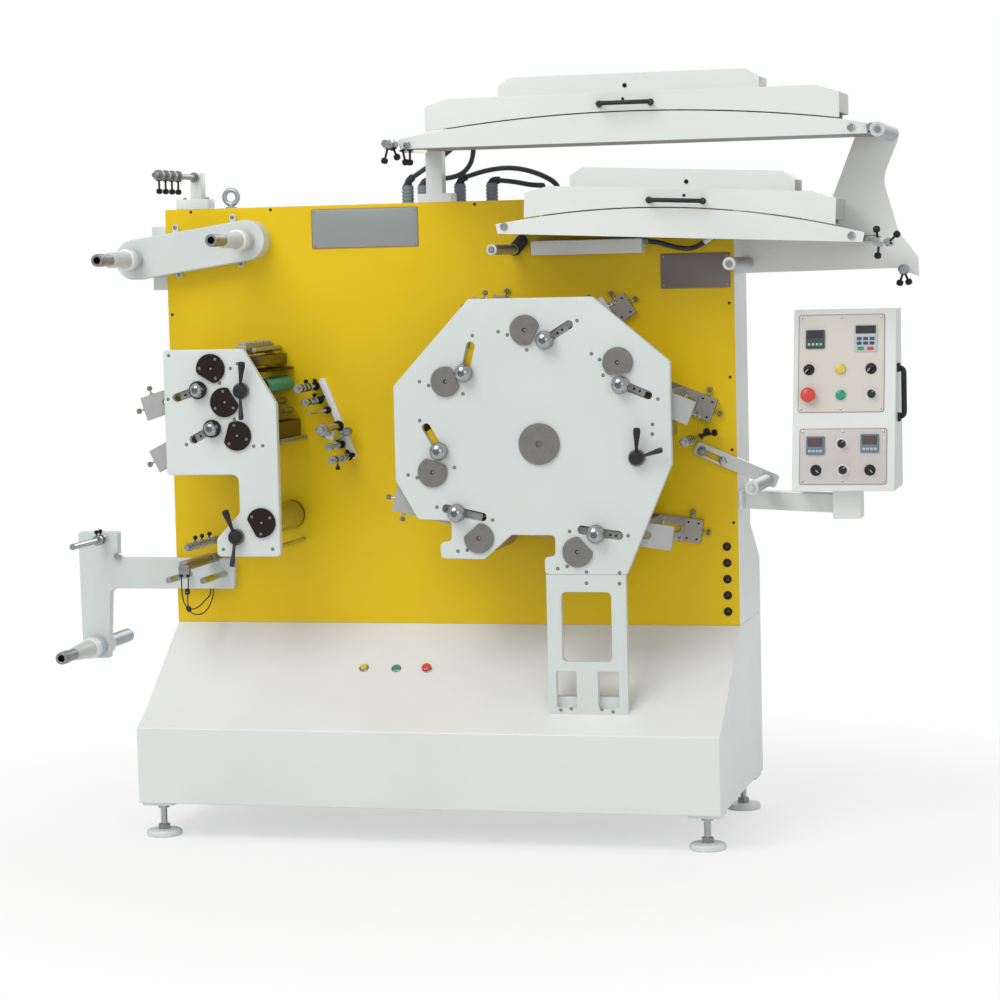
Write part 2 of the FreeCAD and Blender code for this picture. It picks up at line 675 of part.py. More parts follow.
def thumb(u, v, y, du, dv):
    """A small thumb screw that stands out of a block in the direction du, dv."""
    stem = bar((u, y, v), (u + du * THUMB_STEM_L, y, v + dv * THUMB_STEM_L), THUMB_STEM_R)
    head = bar((u + du * THUMB_STEM_L, y, v + dv * THUMB_STEM_L),
               (u + du * (THUMB_STEM_L + THUMB_T), y, v + dv * (THUMB_STEM_L + THUMB_T)), THUMB_R)
    return [stem, head]


def cheek(station, start, slot_start, reach, y0, thumb_y):
    """One plate of a carriage, slotted along its middle, with a thumb screw at its end and one on its side."""
    shift = station["shift"]
    half = CHEEK_W / 2
    shape = box(start, reach, y0, y0 + CHEEK_T, shift - half, shift + half)
    opening = slot((slot_start, shift), (reach - CHEEK_SLOT_IN, shift), CHEEK_SLOT_W, y0 - 1, y0 + CHEEK_T + 1)
    pieces = [shape.cut(opening)] + thumb(reach - 1, shift, thumb_y, 1, 0)
    side = station.get("thumb", 1)
    if side:
        pieces += thumb(reach - THUMB_IN, shift + side * (half - 1), thumb_y, 0, side)
    return pieces


def ink_unit(station):
    """A carriage: a front and a longer rear plate with the ink roller and its tray between them."""
    inner = SIDE_BACK + CHEEK_T
    back = PANEL_Y - CHEEK_T
    half = CHEEK_W / 2
    shift = station["shift"]
    kx, kz = at_station(station, station["knob"])
    angle = math.radians(station["turn"])
    dx, dz = station["knob"]
    cu = -dx * math.cos(angle) - dz * math.sin(angle)
    cv = dx * math.sin(angle) - dz * math.cos(angle)
    apart = PLATE_CYL_R + INK_ROLLER_R + RUN_GAP
    ru = cu + math.sqrt(apart ** 2 - cv ** 2)
    start = min(ru - INK_JOURNAL_R - CHEEK_EDGE, -CHEEK_BACK_U)
    slot_start = ru + CHEEK_SLOT_FROM
    pieces = cheek(station, start, slot_start, station["front"], SIDE_BACK, SIDE_BACK + THUMB_SEAT)
    pieces += cheek(station, start, slot_start, station["rear"], back, PANEL_Y - THUMB_SEAT)
    pieces.append(box(station["rear"] - BLOCK_L, station["rear"], PANEL_Y - BLOCK_T, PANEL_Y,
                      shift - half, shift + half))
    pieces.append(rod(ru, 0, inner - 1, back + 1, INK_JOURNAL_R))
    pieces.append(rod(ru, 0, ROLLER_FRONT, ROLLER_BACK, INK_ROLLER_R))
    end = station["front"] - TRAY_SHORT
    pieces.append(box(end - TRAY_WALL, end, inner - 1, back + 1, shift - half, shift + half))
    down = -1 if math.cos(angle) > 0 else 1
    floor = shift + down * (half - TRAY_WALL / 2) - TRAY_WALL / 2
    pieces.append(box(ru + INK_ROLLER_R + RUN_GAP, end, inner - 1, back + 1, floor, floor + TRAY_WALL))
    return placed(fused(pieces), kx, kz, station["turn"])


def ink_units():
    return Part.makeCompound([ink_unit(station) for station in STATIONS])


def roller(x, z, r, journal, front=ROLLER_FRONT, back=ROLLER_BACK):
    """A print roller with a journal at each end, turned in one piece."""
    tip = SIDE_Y + END_GAP
    tail = PANEL_Y + JOURNAL_IN_PANEL
    return revolved([(0, tip), (journal, tip), (journal, front), (r, front), (r, back), (journal, back),
                     (journal, tail), (0, tail)], x, z)


def impression_drum():
    return roller(HUB_X, HUB_Z, DRUM_R, DRUM_JOURNAL_R)


def two_colour_ink_units():
    """Two ink trays on the left, and the rubber roller with its two open trays on the right."""
    pieces = [ink_unit(station) for station in TWO_STATIONS]
    x, z = RUBBER_ROLLER
    pieces.append(fused([rod(x, z, ROLLER_FRONT, ROLLER_BACK, RUBBER_ROLLER_R),
                         rod(x, z, SIDE_BACK, PANEL_Y, INK_JOURNAL_R)]))
    for tray in TRAY_BOXES:
        x0, x1 = tray["x"]
        z0, z1 = tray["z"]
        outer = box(x0, x1, TRAY_FRONT, PANEL_Y, z0, z1)
        pieces.append(outer.cut(box(x0 + TRAY_WALL, x1 - TRAY_WALL, TRAY_FRONT + TRAY_WALL,
                                    PANEL_Y - TRAY_WALL, z0 + TRAY_WALL, z1 + 1)))
    for x, z in TRAY_RODS:
        pieces.append(rod(x, z, TRAY_FRONT, PANEL_Y, TRAY_ROD_R))
    pieces.append(box(*RIBBED_BLOCK["x"], TRAY_FRONT, PANEL_Y, *RIBBED_BLOCK["z"]))
    for x, z in SCRAPER_PINS:
        pieces.append(rod(x, z, PANEL_Y - SCRAPER_PIN_L, PANEL_Y, SCRAPER_PIN_R))
    return Part.makeCompound(pieces)


def lever(data):
    """A cross lever: a hub on a pin through the plate and two rods with round grips."""
    hx, hz = data["hub"]
    front = SIDE_Y - LEVER_GAP
    pieces = [rod(hx, hz, front - LEVER_HUB_T, front, LEVER_HUB_R),
              rod(hx, hz, front - 1, SIDE_BACK - 2, LEVER_PIN_R)]
    y = front - LEVER_HUB_T / 2
    for gx, gz in data["grips"]:
        start = Vector(hx, y, hz)
        tip = Vector(gx, y - LEVER_LEAN, gz)
        along = (tip - start).normalize()
        pieces.append(bar(start, tip, LEVER_ROD_R))
        pieces.append(bar(tip - along * LEVER_GRIP_L, tip, LEVER_GRIP_R))
    return fused(pieces)


def spindle(x, z, seat, tail=()):
    """A reel spindle: a bored nose, a cone, a body with a flange, and a journal; the tail ends the profile."""
    back = seat - END_GAP
    tip = seat - SPINDLE_L
    cone = tip + SPINDLE_NOSE_L
    flange = back - SPINDLE_FLANGE_IN
    ring = SPINDLE_NOSE_R + 3
    profile = [
        (SPINDLE_BORE_R, tip), (SPINDLE_NOSE_R, tip), (ring, tip + 6), (ring, tip + 40),
        (SPINDLE_NOSE_R, tip + 44), (SPINDLE_NOSE_R, cone), (SPINDLE_R, cone + SPINDLE_TAPER_L),
        (SPINDLE_R, flange - SPINDLE_FLANGE_T), (SPINDLE_R + 6, flange - SPINDLE_FLANGE_T),
        (SPINDLE_R + 6, flange), (SPINDLE_R + 2, flange), (SPINDLE_R + 2, back), (SPINDLE_JOURNAL_R, back),
    ]
    profile += list(tail) or [(SPINDLE_JOURNAL_R, seat + SPINDLE_SEAT_D), (0, seat + SPINDLE_SEAT_D)]
    profile += [(0, tip + 30), (SPINDLE_BORE_R, tip + 30)]
    return revolved(profile, x, z)


def rewind_spindle():
    """The rewind spindle's shaft goes right through its leg and carries a drive hub behind it."""
    hub = PANEL_Y + REWIND_BOSS_T + END_GAP
    tail = [(SPINDLE_JOURNAL_R, hub), (SPINDLE_TAIL_R, hub), (SPINDLE_TAIL_R, REWIND_TAIL_Y),
            (0, REWIND_TAIL_Y)]
    return spindle(*REWIND_AXIS, PANEL_Y - REWIND_T, tail)


def unwind_arm():
    """The round-ended arm that carries both unwind spindles, with four screw lugs and a block behind it."""
    body = slot(UNWIND_LEFT, UNWIND_RIGHT, 2 * UNWIND_HALF_W, UNWIND_Y, PANEL_Y)
    rim = [edge for edge in body.Edges if edge.BoundBox.YMax < UNWIND_Y + TINY]
    pieces = [body.makeChamfer(PLATE_BEVEL, rim)]
    for lug, foot in UNWIND_LUGS:
        pieces.append(slot(lug, foot, UNWIND_LUG_W, PANEL_Y - UNWIND_LUG_T, PANEL_Y))
    pieces.append(box(-BACKING_OUT, 0, PANEL_Y, PANEL_Y + BACKING_T, *BACKING_Z))
    shape = fused(pieces)
    for x, z in (UNWIND_LEFT, UNWIND_RIGHT):
        shape = shape.cut(rod(x, z, UNWIND_Y - 1, UNWIND_Y + SPINDLE_SEAT_D + END_GAP,
                              SPINDLE_JOURNAL_R + BORE_GAP))
    return shape


def rewind_bracket():
    """The lower left bracket: a head, an arm along the panel and a leg down to the rewind spindle."""
    y0 = PANEL_Y - REWIND_T
    shape = plate(REWIND_OUTLINE, y0, PANEL_Y, 0, PLATE_BEVEL)
    x, z = REWIND_AXIS
    boss = rod(x, z, PANEL_Y, PANEL_Y + REWIND_BOSS_T, REWIND_BOSS_R)
    bore = rod(x, z, y0 - 1, PANEL_Y + REWIND_BOSS_T + 1, SPINDLE_JOURNAL_R + BORE_GAP)
    return fused([shape, boss]).cut(bore)


def guide_rod(data):
    """A guide shaft with collars; each collar has a thumb screw pointing along drop."""
    x, z, r = data["x"], data["z"], data["r"]
    pieces = [rod(x, z, data["front"], data["back"], r)]
    for y in data["rings"]:
        pieces.append(rod(x, z, y - RING_HALF_T, y + RING_HALF_T, r + RING_PROUD))
        pieces += thumb(x, z, y, *data["drop"])
    return fused(pieces)


def web_guide():
    """The slanted guide bar on the panel with its collared rods."""
    pieces = [slot(*WEB_BAR, WEB_BAR_W, PANEL_Y - WEB_BAR_T, PANEL_Y)]
    for x, z in WEB_RODS:
        pieces.append(rod(x, z, WEB_ROD_FRONT, PANEL_Y, WEB_ROD_R))
        for y in WEB_RINGS:
            pieces.append(rod(x, z, y, y + 2 * RING_HALF_T, WEB_ROD_R + RING_PROUD))
    return fused(pieces)


def guide_rods():
    """The guide rods on the rewind bracket, the sensor on the longest, and the guide beside the drum."""
    rods = [guide_rod(data) for data in GUIDE_RODS]
    rods[-1] = fused([rods[-1], box(*SENSOR_X, *SENSOR_Y, *SENSOR_Z)])
    return Part.makeCompound(rods + [web_guide()])


def swing_bracket():
    y0 = PANEL_Y - SWING_T
    shape = plate(SWING_OUTLINE, y0, PANEL_Y)
    shape = shape.cut(slot(*SWING_SLOT, SWING_SLOT_W, y0 - 1, PANEL_Y + 1))
    x, z = SWING_ROLLER
    return fused([shape, rod(x, z, SWING_FRONT - SHAFT_PROUD, y0 + 1, GUIDE_SHAFT_R)])


def guide_roller(centre, r, y0, y1):
    x, z = centre
    return rod(x, z, y0, y1, r).cut(rod(x, z, y0 - 1, y1 + 1, GUIDE_SHAFT_R + BORE_GAP))


def thread_guide():
    """The small bracket on top of the body at the left, with a collared rod."""
    foot = box(*THREAD_FOOT_X, PANEL_Y, PANEL_Y + 60, BODY_TOP, BODY_TOP + THREAD_FOOT_T)
    post = box(*THREAD_POST_X, PANEL_Y + 10, PANEL_Y + 50, BODY_TOP, THREAD_POST_TOP)
    return fused([foot, post, guide_rod(THREAD_ROD)])


def lifting_eyebolt():
    x, y = EYE_PLACE
    middle = BODY_TOP + EYE_SHANK_H + EYE_RING_R
    ring = Part.makeTorus(EYE_RING_R, EYE_WIRE_R, Vector(x, y, middle), Vector(0, 1, 0))
    shank = Part.makeCylinder(EYE_SHANK_R, EYE_SHANK_H, Vector(x, y, BODY_TOP))
    return fused([ring, shank])


def arch_points(data):
    x0, x1 = data["x0"], data["x1"]
    return (Vector(x0 + HOOD_END_IN, 0, HOOD_END_Z), Vector((x0 + x1) / 2, 0, HOOD_RISE_Z),
            Vector(x1 - HOOD_END_IN, 0, HOOD_END_Z))


def arch_face(data, drop, z_low):
    """The face under the arch, lowered by drop, down to z_low."""
    x0, x1 = data["x0"], data["x1"]
    a, b, c = arch_points(data)
    down = Vector(0, 0, -drop)
    left = Vector(x0 + 2, 0, HOOD_TIP_Z + 6 - drop)
    right = Vector(x1 - 2, 0, HOOD_TIP_Z + 6 - drop)
    low_left = Vector(x0 + 8, 0, z_low)
    low_right = Vector(x1 - 8, 0, z_low)
    return Part.Face(Part.Wire([
        Part.Arc(a + down, b + down, c + down).toShape(),
        Part.LineSegment(c + down, right).toShape(),
        Part.LineSegment(right, low_right).toShape(),
        Part.LineSegment(low_right, low_left).toShape(),
        Part.LineSegment(low_left, left).toShape(),
        Part.LineSegment(left, a + down).toShape(),
    ]))


def sheet_from(face, y0, y1):
    face = face.copy()
    face.translate(Vector(0, y0, 0))
    return face.extrude(Vector(0, y1 - y0, 0))


def hood_set(shape, data):
    """From the hood's own level frame to its place and tilt."""
    shape.translate(Vector(0, 0, data["z"]))
    return turned(shape, ((data["x0"] + data["x1"]) / 2, data["z"]), data["tilt"])


def hinge_places(data):
    middle = (data["x0"] + data["x1"]) / 2
    return (middle - HINGE_OUT, middle + HINGE_OUT)


def hinge_lugs(data):
    """Two lugs and their pin for each hinge, standing on the back plate of the lower half."""
    pieces = []
    for x in hinge_places(data):
        for x0 in (x - HINGE_L / 2 - HINGE_LUG_T - HINGE_PLAY, x + HINGE_L / 2 + HINGE_PLAY):
            pieces.append(box(x0, x0 + HINGE_LUG_T, HINGE_Y - HINGE_R, HOOD_Y + HOOD_D, 30, HINGE_Z + HINGE_R))
        pieces.append(bar((x - HINGE_L / 2 - HINGE_LUG_T, HINGE_Y, HINGE_Z),
                          (x + HINGE_L / 2 + HINGE_LUG_T, HINGE_Y, HINGE_Z), HINGE_PIN_R))
    return pieces


def hinge_knuckles(data):
    """The cover's half of each hinge: a knuckle on a leaf from its back wall."""
    pieces = []
    for x in hinge_places(data):
        leaf = box(x - HINGE_L / 2, x + HINGE_L / 2, HOOD_Y + LID_D - 1, HINGE_Y, HINGE_Z, HINGE_Z + HINGE_R)
        knuckle = bar((x - HINGE_L / 2, HINGE_Y, HINGE_Z), (x + HINGE_L / 2, HINGE_Y, HINGE_Z), HINGE_R)
        hole = bar((x - HINGE_L, HINGE_Y, HINGE_Z), (x + HINGE_L, HINGE_Y, HINGE_Z), HINGE_PIN_R + BORE_GAP)
        pieces.append(leaf.fuse(knuckle).cut(hole))
    return pieces


def hood_base(data, fittings):
    """The lower half of a dryer: an arched bed between two side plates over a flat floor."""
    y1 = HOOD_Y + HOOD_D
    full = sheet_from(arch_face(data, 0, 0), HOOD_Y, y1)
    inner = sheet_from(arch_face(data, 14, HOOD_SHEET), HOOD_Y + HOOD_PLATE_T, y1 - HOOD_PLATE_T)
    above = sheet_from(arch_face(data, -20, 0), HOOD_Y + HOOD_PLATE_T, y1 - HOOD_PLATE_T)
    below = sheet_from(arch_face(data, 11, -1), HOOD_Y, y1)
    web_path = above.cut(below)
    base = full.cut(inner).cut(web_path)
    shape = hood_set(fused([base] + hinge_lugs(data)), data)
    return fused([shape] + fittings)


def cord_points(name):
    return [Vector(CORDS[name]["x"] + x, y, z) for x, y, z in CORDS[name]["route"]]


def hose_end(name):
    """The last point of a hose and the direction in which it arrives there."""
    route = cord_points(name)
    return route[-1], (route[-1] - route[-2]).normalize()


def bed_gland(name, depth):
    """The sleeve that a hose ends in, sunk into a dryer's bed along the hose's last direction."""
    end, along = hose_end(name)
    return bar(end, end + along * depth, BED_GLAND_R)


def upper_fittings():
    depth = CORDS["upper_hose_1"]["route"][-1][1] - PANEL_Y + HOOD_PLATE_T / 2
    return [bed_gland(name, depth) for name in GLAND_HOSES[:2]]


def lower_fittings():
    """Two sleeves standing on the bed's rear strip, and one under its floor."""
    pieces = []
    for name in GLAND_HOSES[2:]:
        end, along = hose_end(name)
        floor = hood_floor(LOWER_HOOD, end.x)
        pieces.append(bed_gland(name, end.z - floor))
    end, along = hose_end("heater_hose")
    sunk = bed_gland("heater_hose", BED_GLAND_SINK + 2 * BED_GLAND_R)
    ceiling = hood_set(box(LOWER_HOOD["x0"], LOWER_HOOD["x1"], HOOD_Y, HOOD_Y + HOOD_D, HOOD_SHEET / 2, 100),
                       LOWER_HOOD)
    pieces.append(sunk.cut(ceiling))
    return pieces


def hood_floor(data, x):
    """The height of the bed's web surface at x, a little below its top skin."""
    a, b, c = arch_points(data)
    share = (x - (a.x + c.x) / 2) / ((c.x - a.x) / 2)
    local = HOOD_END_Z + (HOOD_RISE_Z - HOOD_END_Z) * (1 - share ** 2) - BED_GLAND_SINK
    middle = (data["x0"] + data["x1"]) / 2
    return data["z"] + local - (middle - x) * math.sin(math.radians(data["tilt"]))


def hood_lid(data):
    """The cover over the arch: a shell that lets the web through under its ends, and a heater box on top."""
    x0 = data["x0"] + HOOD_END_IN
    x1 = data["x1"] - HOOD_END_IN
    y1 = HOOD_Y + LID_D
    low = HOOD_END_Z
    a, b, c = arch_points(data)
    up = Vector(0, 0, LID_GAP)

    def shell_face(inset):
        top = low + LID_END_H - inset
        crest = low + LID_CREST_H - inset
        left = x0 + inset
        right = x1 - inset
        return Part.Face(Part.makePolygon([Vector(left, 0, low - 30), Vector(left, 0, top),
                                           Vector(x0 + LID_CREST_IN, 0, crest),
                                           Vector(x1 - LID_CREST_IN, 0, crest), Vector(right, 0, top),
                                           Vector(right, 0, low - 30), Vector(left, 0, low - 30)]))

    bx0, bx1 = data["box"]
    crest = low + LID_CREST_H
    by0 = HOOD_Y + LID_BOX_SET_BACK
    heater = plate([(bx0, crest - 1), (bx0, crest + LID_BOX_H - 22), (bx0 + LID_BOX_BEVEL, crest + LID_BOX_H),
                    (bx1 - LID_BOX_BEVEL, crest + LID_BOX_H), (bx1, crest + LID_BOX_H - 22), (bx1, crest - 1)],
                   by0, by0 + LID_BOX_D)
    outer = sheet_from(shell_face(0), HOOD_Y, y1)
    hollow = sheet_from(shell_face(HOOD_SHEET), HOOD_Y + HOOD_SHEET, y1 - HOOD_SHEET)
    arch = Part.Face(Part.Wire([
        Part.Arc(a + up, b + up, c + up).toShape(),
        Part.makePolygon([c + up, c + Vector(60, 0, LID_GAP), c + Vector(60, 0, -80), a + Vector(-60, 0, -80),
                          a + Vector(-60, 0, LID_GAP), a + up]),
    ]))
    shape = fused([outer, heater]).cut(hollow).cut(sheet_from(arch, HOOD_Y - 1, y1 + 1))
    for end in (x0, x1):
        shape = shape.cut(box(end - LID_CORNER_L, end + LID_CORNER_L, HOOD_Y + HOOD_SHEET, y1 + 1,
                              low - 1, low + LID_GAP + WEB_SLOT_H))
    hx0, hx1 = data["handle"]
    hz = low + HANDLE_UP
    hy = HOOD_Y - HANDLE_OUT
    grip = [bar((hx0, hy, hz), (hx1, hy, hz), HANDLE_R)]
    for hx in (hx0 + 8, hx1 - 8):
        grip.append(bar((hx, hy, hz), (hx, HOOD_Y + 1, hz), HANDLE_R))
    shape = fused([shape] + grip + hinge_knuckles(data))
    return hood_set(shape, data)


def hood_post():
    x0 = UPPER_HOOD["x0"] + POST_IN
    x1 = x0 + POST_WIDTH
    y1 = PANEL_Y + POST_D
    foot = box(x0 - POST_FOOT_SIDE, x1 + POST_FOOT_SIDE, PANEL_Y, y1 + POST_FOOT_BACK, BODY_TOP,
               BODY_TOP + POST_FOOT_T)
    post = box(x0, x1, PANEL_Y, y1, BODY_TOP, UPPER_HOOD["z"] + POST_HEAD)
    return fused([foot, post])


def hood_bracket():
    """The curved plate at the right that carries both dryers, with a flange on the body's side."""
    y0 = PANEL_Y
    shape = plate(BRACKET_OUTLINE, y0, y0 + BRACKET_T)
    flange = box(CABINET_W, CABINET_W + BRACKET_T, y0, y0 + BRACKET_FLANGE_D, BRACKET_LOW, BRACKET_HIGH)
    pieces = [shape, flange]
    for centre, front in ((UPPER_ROLLER, UPPER_FRONT), (PANEL_ROLLER, PANEL_FRONT)):
        pieces.append(rod(centre[0], centre[1], front - SHAFT_PROUD, y0 + 1, GUIDE_SHAFT_R))
    return fused(pieces)


def gland(x, hose):
    """A ribbed gland on the body's top, with an elbow that the hose leaves."""
    pieces = [Part.makeCylinder(GLAND_R - GLAND_RIB_PROUD, GLAND_H, Vector(x, GLAND_Y, BODY_TOP))]
    pitch = GLAND_H / (GLAND_RIBS + 1)
    for i in range(GLAND_RIBS):
        z = BODY_TOP + i * pitch
        pieces.append(Part.makeCylinder(GLAND_R, pitch / 2, Vector(x, GLAND_Y, z)))
    route = cord_points(hose)
    start = route[0]
    away = (start - route[1]).normalize()
    turn = start + away * ((start.x - x) / -away.x)
    pieces.append(bar((x, GLAND_Y, BODY_TOP + GLAND_H - 1), (x, GLAND_Y, turn.z), ELBOW_R))
    pieces.append(Part.makeSphere(ELBOW_R, Vector(x, GLAND_Y, turn.z)))
    pieces.append(bar(turn, start, ELBOW_R))
    return fused(pieces)


def cable_glands():
    return Part.makeCompound([gland(x, hose) for x, hose in zip(GLANDS_X, GLAND_HOSES)])


def bend_radius(before, here, after):
    """The radius of a cord's arc at a point: a share of its shorter run over the tangent of half the turn."""
    a = here - before
    b = after - here
    return ARC_SHARE * min(a.Length, b.Length) / math.tan(a.getAngle(b) / 2)


def cord(name):
    """A cord as straight runs joined by tangent arcs."""
    route = cord_points(name)
    r = CORDS[name]["r"]
    edges = []
    radii = []
    start = route[0]
    for before, here, after in zip(route, route[1:], route[2:]):
        radius = bend_radius(before, here, after)
        first, middle, last = corner_cut(before, here, after, radius)
        edges.append(Part.LineSegment(start, first).toShape())
        edges.append(Part.Arc(first, middle, last).toShape())
        radii.append(radius)
        start = last
    edges.append(Part.LineSegment(start, route[-1]).toShape())
    path = Part.Wire(edges)
    ring = Part.Wire([Part.Circle(route[0], route[1] - route[0], r).toShape()])
    tube = path.makePipeShell([ring], True, False)
    share = tube.Volume / (math.pi * r ** 2 * path.Length)
    print("%s: %.0f mm long, volume %.4f of section by length, bend radii %s"
          % (name, path.Length, share, " ".join("%.0f" % v for v in radii)))
    return tube


def cord_toggles():
    """The two small barrels on the sensor cords."""
    return Part.makeCompound([bar(t["start"], t["end"], TOGGLE_R) for t in TOGGLES])


def control_arm():
    """The arm from a plate on the body's side, out and forward to the block under the control box."""
    start = Vector(CABINET_W, ARM_START_Y, 0)
    end = Vector(ARM_END[0], ARM_END[1], 0)
    along = (end - start).normalize()
    side = Vector(-along.y, along.x, 0) * (ARM_W / 2)
    back = start - along * ARM_W
    points = [back + side, end + side, end - side, back - side]
    arm = Part.Face(Part.makePolygon(points + points[:1])).extrude(Vector(0, 0, ARM_H))
    arm.translate(Vector(0, 0, ARM_TOP - ARM_H))
    arm = arm.cut(box(CABINET_W - 200, CABINET_W, 0, BASE_D, 0, BODY_TOP))
    wall = box(CABINET_W, CABINET_W + ARM_PLATE_T, ARM_PLATE_Y0, ARM_PLATE_Y1, ARM_TOP - ARM_H, ARM_TOP)
    block = box(end.x - BLOCK_UNDER_W / 2, end.x + BLOCK_UNDER_W / 2, end.y - BLOCK_UNDER_D / 2,
                end.y + BLOCK_UNDER_D / 2, ARM_TOP - ARM_H - BLOCK_UNDER_DROP, BOX_Z0)
    return fused([arm, wall, block])


def control_box():
    """The operator's box, with its front leaning back."""
    back = BOX_Y + BOX_BOTTOM_D
    profile = [(BOX_Y, BOX_Z0), (back - BOX_TOP_D, BOX_Z1), (back, BOX_Z1), (back, BOX_Z0)]
    wire = Part.makePolygon([Vector(BOX_X0, y, z) for y, z in profile + profile[:1]])
    return Part.Face(wire).extrude(Vector(BOX_X1 - BOX_X0, 0, 0))


def control_handle():
    """The bow handle on the box's right side."""
    z0, z1 = GRIP_Z
    out = BOX_X1 + GRIP_OUT
    pieces = [bar((out, GRIP_Y, z0 + GRIP_END), (out, GRIP_Y, z1 - GRIP_END), GRIP_R)]
    for z in (z0 + GRIP_END, z1 - GRIP_END):
        pieces.append(bar((BOX_X1, GRIP_Y, z), (out, GRIP_Y, z), GRIP_R))
    return fused(pieces)


def heater_box():
    """The flat white box on the panel under the lower dryer, with the sleeve of its hose."""
    shape = box(*HEATER_X, PANEL_Y - HEATER_D, PANEL_Y, *HEATER_Z)
    route = cord_points("heater_hose")
    start = route[0]
    back = (start - route[1]).normalize()
    root = start + back * ((start.x - HEATER_X[1] + 1) / -back.x)
    return fused([shape, bar(root, start, BED_GLAND_R - 1)])


def lower_roller_arm():
    """The black arm under the lower dryer's left end, with the roller's shaft."""
    x, z = LOWER_ROLLER
    y0 = PANEL_Y - LOWER_ARM_T
    arm = slot((x, z), (x + LOWER_ARM_RISE[0], z + LOWER_ARM_RISE[1]), LOWER_ARM_W, y0, PANEL_Y)
    return fused([arm, rod(x, z, LOWER_FRONT - SHAFT_PROUD, y0 + 1, GUIDE_SHAFT_R)])


def base_buttons():
    slope = Vector(0, PANEL_Y - BASE_BAND_Y, SEAM_Z - BASE_BAND_Z).normalize()
    normal = Vector(0, -slope.z, slope.y)
    share = (BUTTON_Z - BASE_BAND_Z) / (SEAM_Z - BASE_BAND_Z)
    y = BASE_BAND_Y + share * (PANEL_Y - BASE_BAND_Y)
    buttons = []
    for x in BUTTON_X:
        buttons.append(Part.makeCylinder(BUTTON_R, BUTTON_T, Vector(x, y, BUTTON_Z), normal))
    return Part.makeCompound(buttons)


def model():
    nodes = {
        "base_cabinet": base_cabinet(),
        "body_cabinet": body_cabinet(),
        "front_panel": front_panel(),
        "levelling_feet": levelling_feet(),
        "impression_side_plate": impression_side_plate(),
        "two_colour_side_plate": two_colour_side_plate(),
        "support_stand": support_stand(),
        "stay_bars": stay_bars(),
        "bearing_caps": bearing_caps(),
        "locking_knobs": locking_knobs(),
        "ink_units": ink_units(),
        "two_colour_ink_units": two_colour_ink_units(),
        "impression_drum": impression_drum(),
        "draw_roller": roller(*DRAW_CENTRE, DRAW_R, CYL_JOURNAL_R),
        "unwind_arm": unwind_arm(),
        "left_unwind_spindle": spindle(*UNWIND_LEFT, UNWIND_Y),
        "right_unwind_spindle": spindle(*UNWIND_RIGHT, UNWIND_Y),
        "rewind_bracket": rewind_bracket(),
        "rewind_spindle": rewind_spindle(),
        "guide_rods": guide_rods(),
        "swing_bracket": swing_bracket(),
        "swing_roller": guide_roller(SWING_ROLLER, SWING_ROLLER_R, SWING_FRONT,
                                     PANEL_Y - SWING_T - ROLLER_SIDE_GAP),
        "thread_guide": thread_guide(),
        "lifting_eyebolt": lifting_eyebolt(),
        "hood_post": hood_post(),
        "hood_bracket": hood_bracket(),
        "upper_dryer_bed": hood_base(UPPER_HOOD, upper_fittings()),
        "upper_dryer_lid": hood_lid(UPPER_HOOD),
        "lower_dryer_bed": hood_base(LOWER_HOOD, lower_fittings()),
        "lower_dryer_lid": hood_lid(LOWER_HOOD),
        "upper_guide_roller": guide_roller(UPPER_ROLLER, UPPER_ROLLER_R, UPPER_FRONT,
                                           PANEL_Y - ROLLER_SIDE_GAP),
        "panel_guide_roller": guide_roller(PANEL_ROLLER, PANEL_ROLLER_R, PANEL_FRONT,
                                           PANEL_Y - ROLLER_SIDE_GAP),
        "cable_glands": cable_glands(),
        "control_arm": control_arm(),
        "control_box": control_box(),
        "control_handle": control_handle(),
        "heater_box": heater_box(),
        "lower_roller_arm": lower_roller_arm(),
        "lower_guide_roller": guide_roller(LOWER_ROLLER, LOWER_ROLLER_R, LOWER_FRONT,
                                           PANEL_Y - LOWER_ARM_T - ROLLER_SIDE_GAP),
        "base_buttons": base_buttons(),
        "cord_toggles": cord_toggles(),
    }
    for name in CORDS:
        nodes[name] = cord(name)
    for i, station in enumerate(STATIONS):
        nodes["plate_cylinder_%d" % (i + 1)] = roller(*station_centre(station), PLATE_CYL_R, CYL_JOURNAL_R)
    for i, centre in enumerate(TWO_CENTRES):
        nodes["two_colour_roller_%d" % (i + 1)] = roller(*centre, TWO_ROLLER_R, CYL_JOURNAL_R)
    for data in LEVERS:
        nodes[data["node"]] = lever(data)
    return nodes


def main():
    os.makedirs("parts", exist_ok=True)
    for name, shape in model().items():
        shape.translate(Vector(-ORIGIN_X, -ORIGIN_Y, 0))
        shape.exportStep("parts/%s.step" % name)


main()
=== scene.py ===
"""Looks of the flexographic label press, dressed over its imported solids.

Places are in the press's own millimetres: x from the cabinet's left edge, y from the front of the
base and z up from the floor.  at() turns them into metres in the shared frame.
"""
import math

import bmesh
import bpy
from mathutils import Matrix, Vector


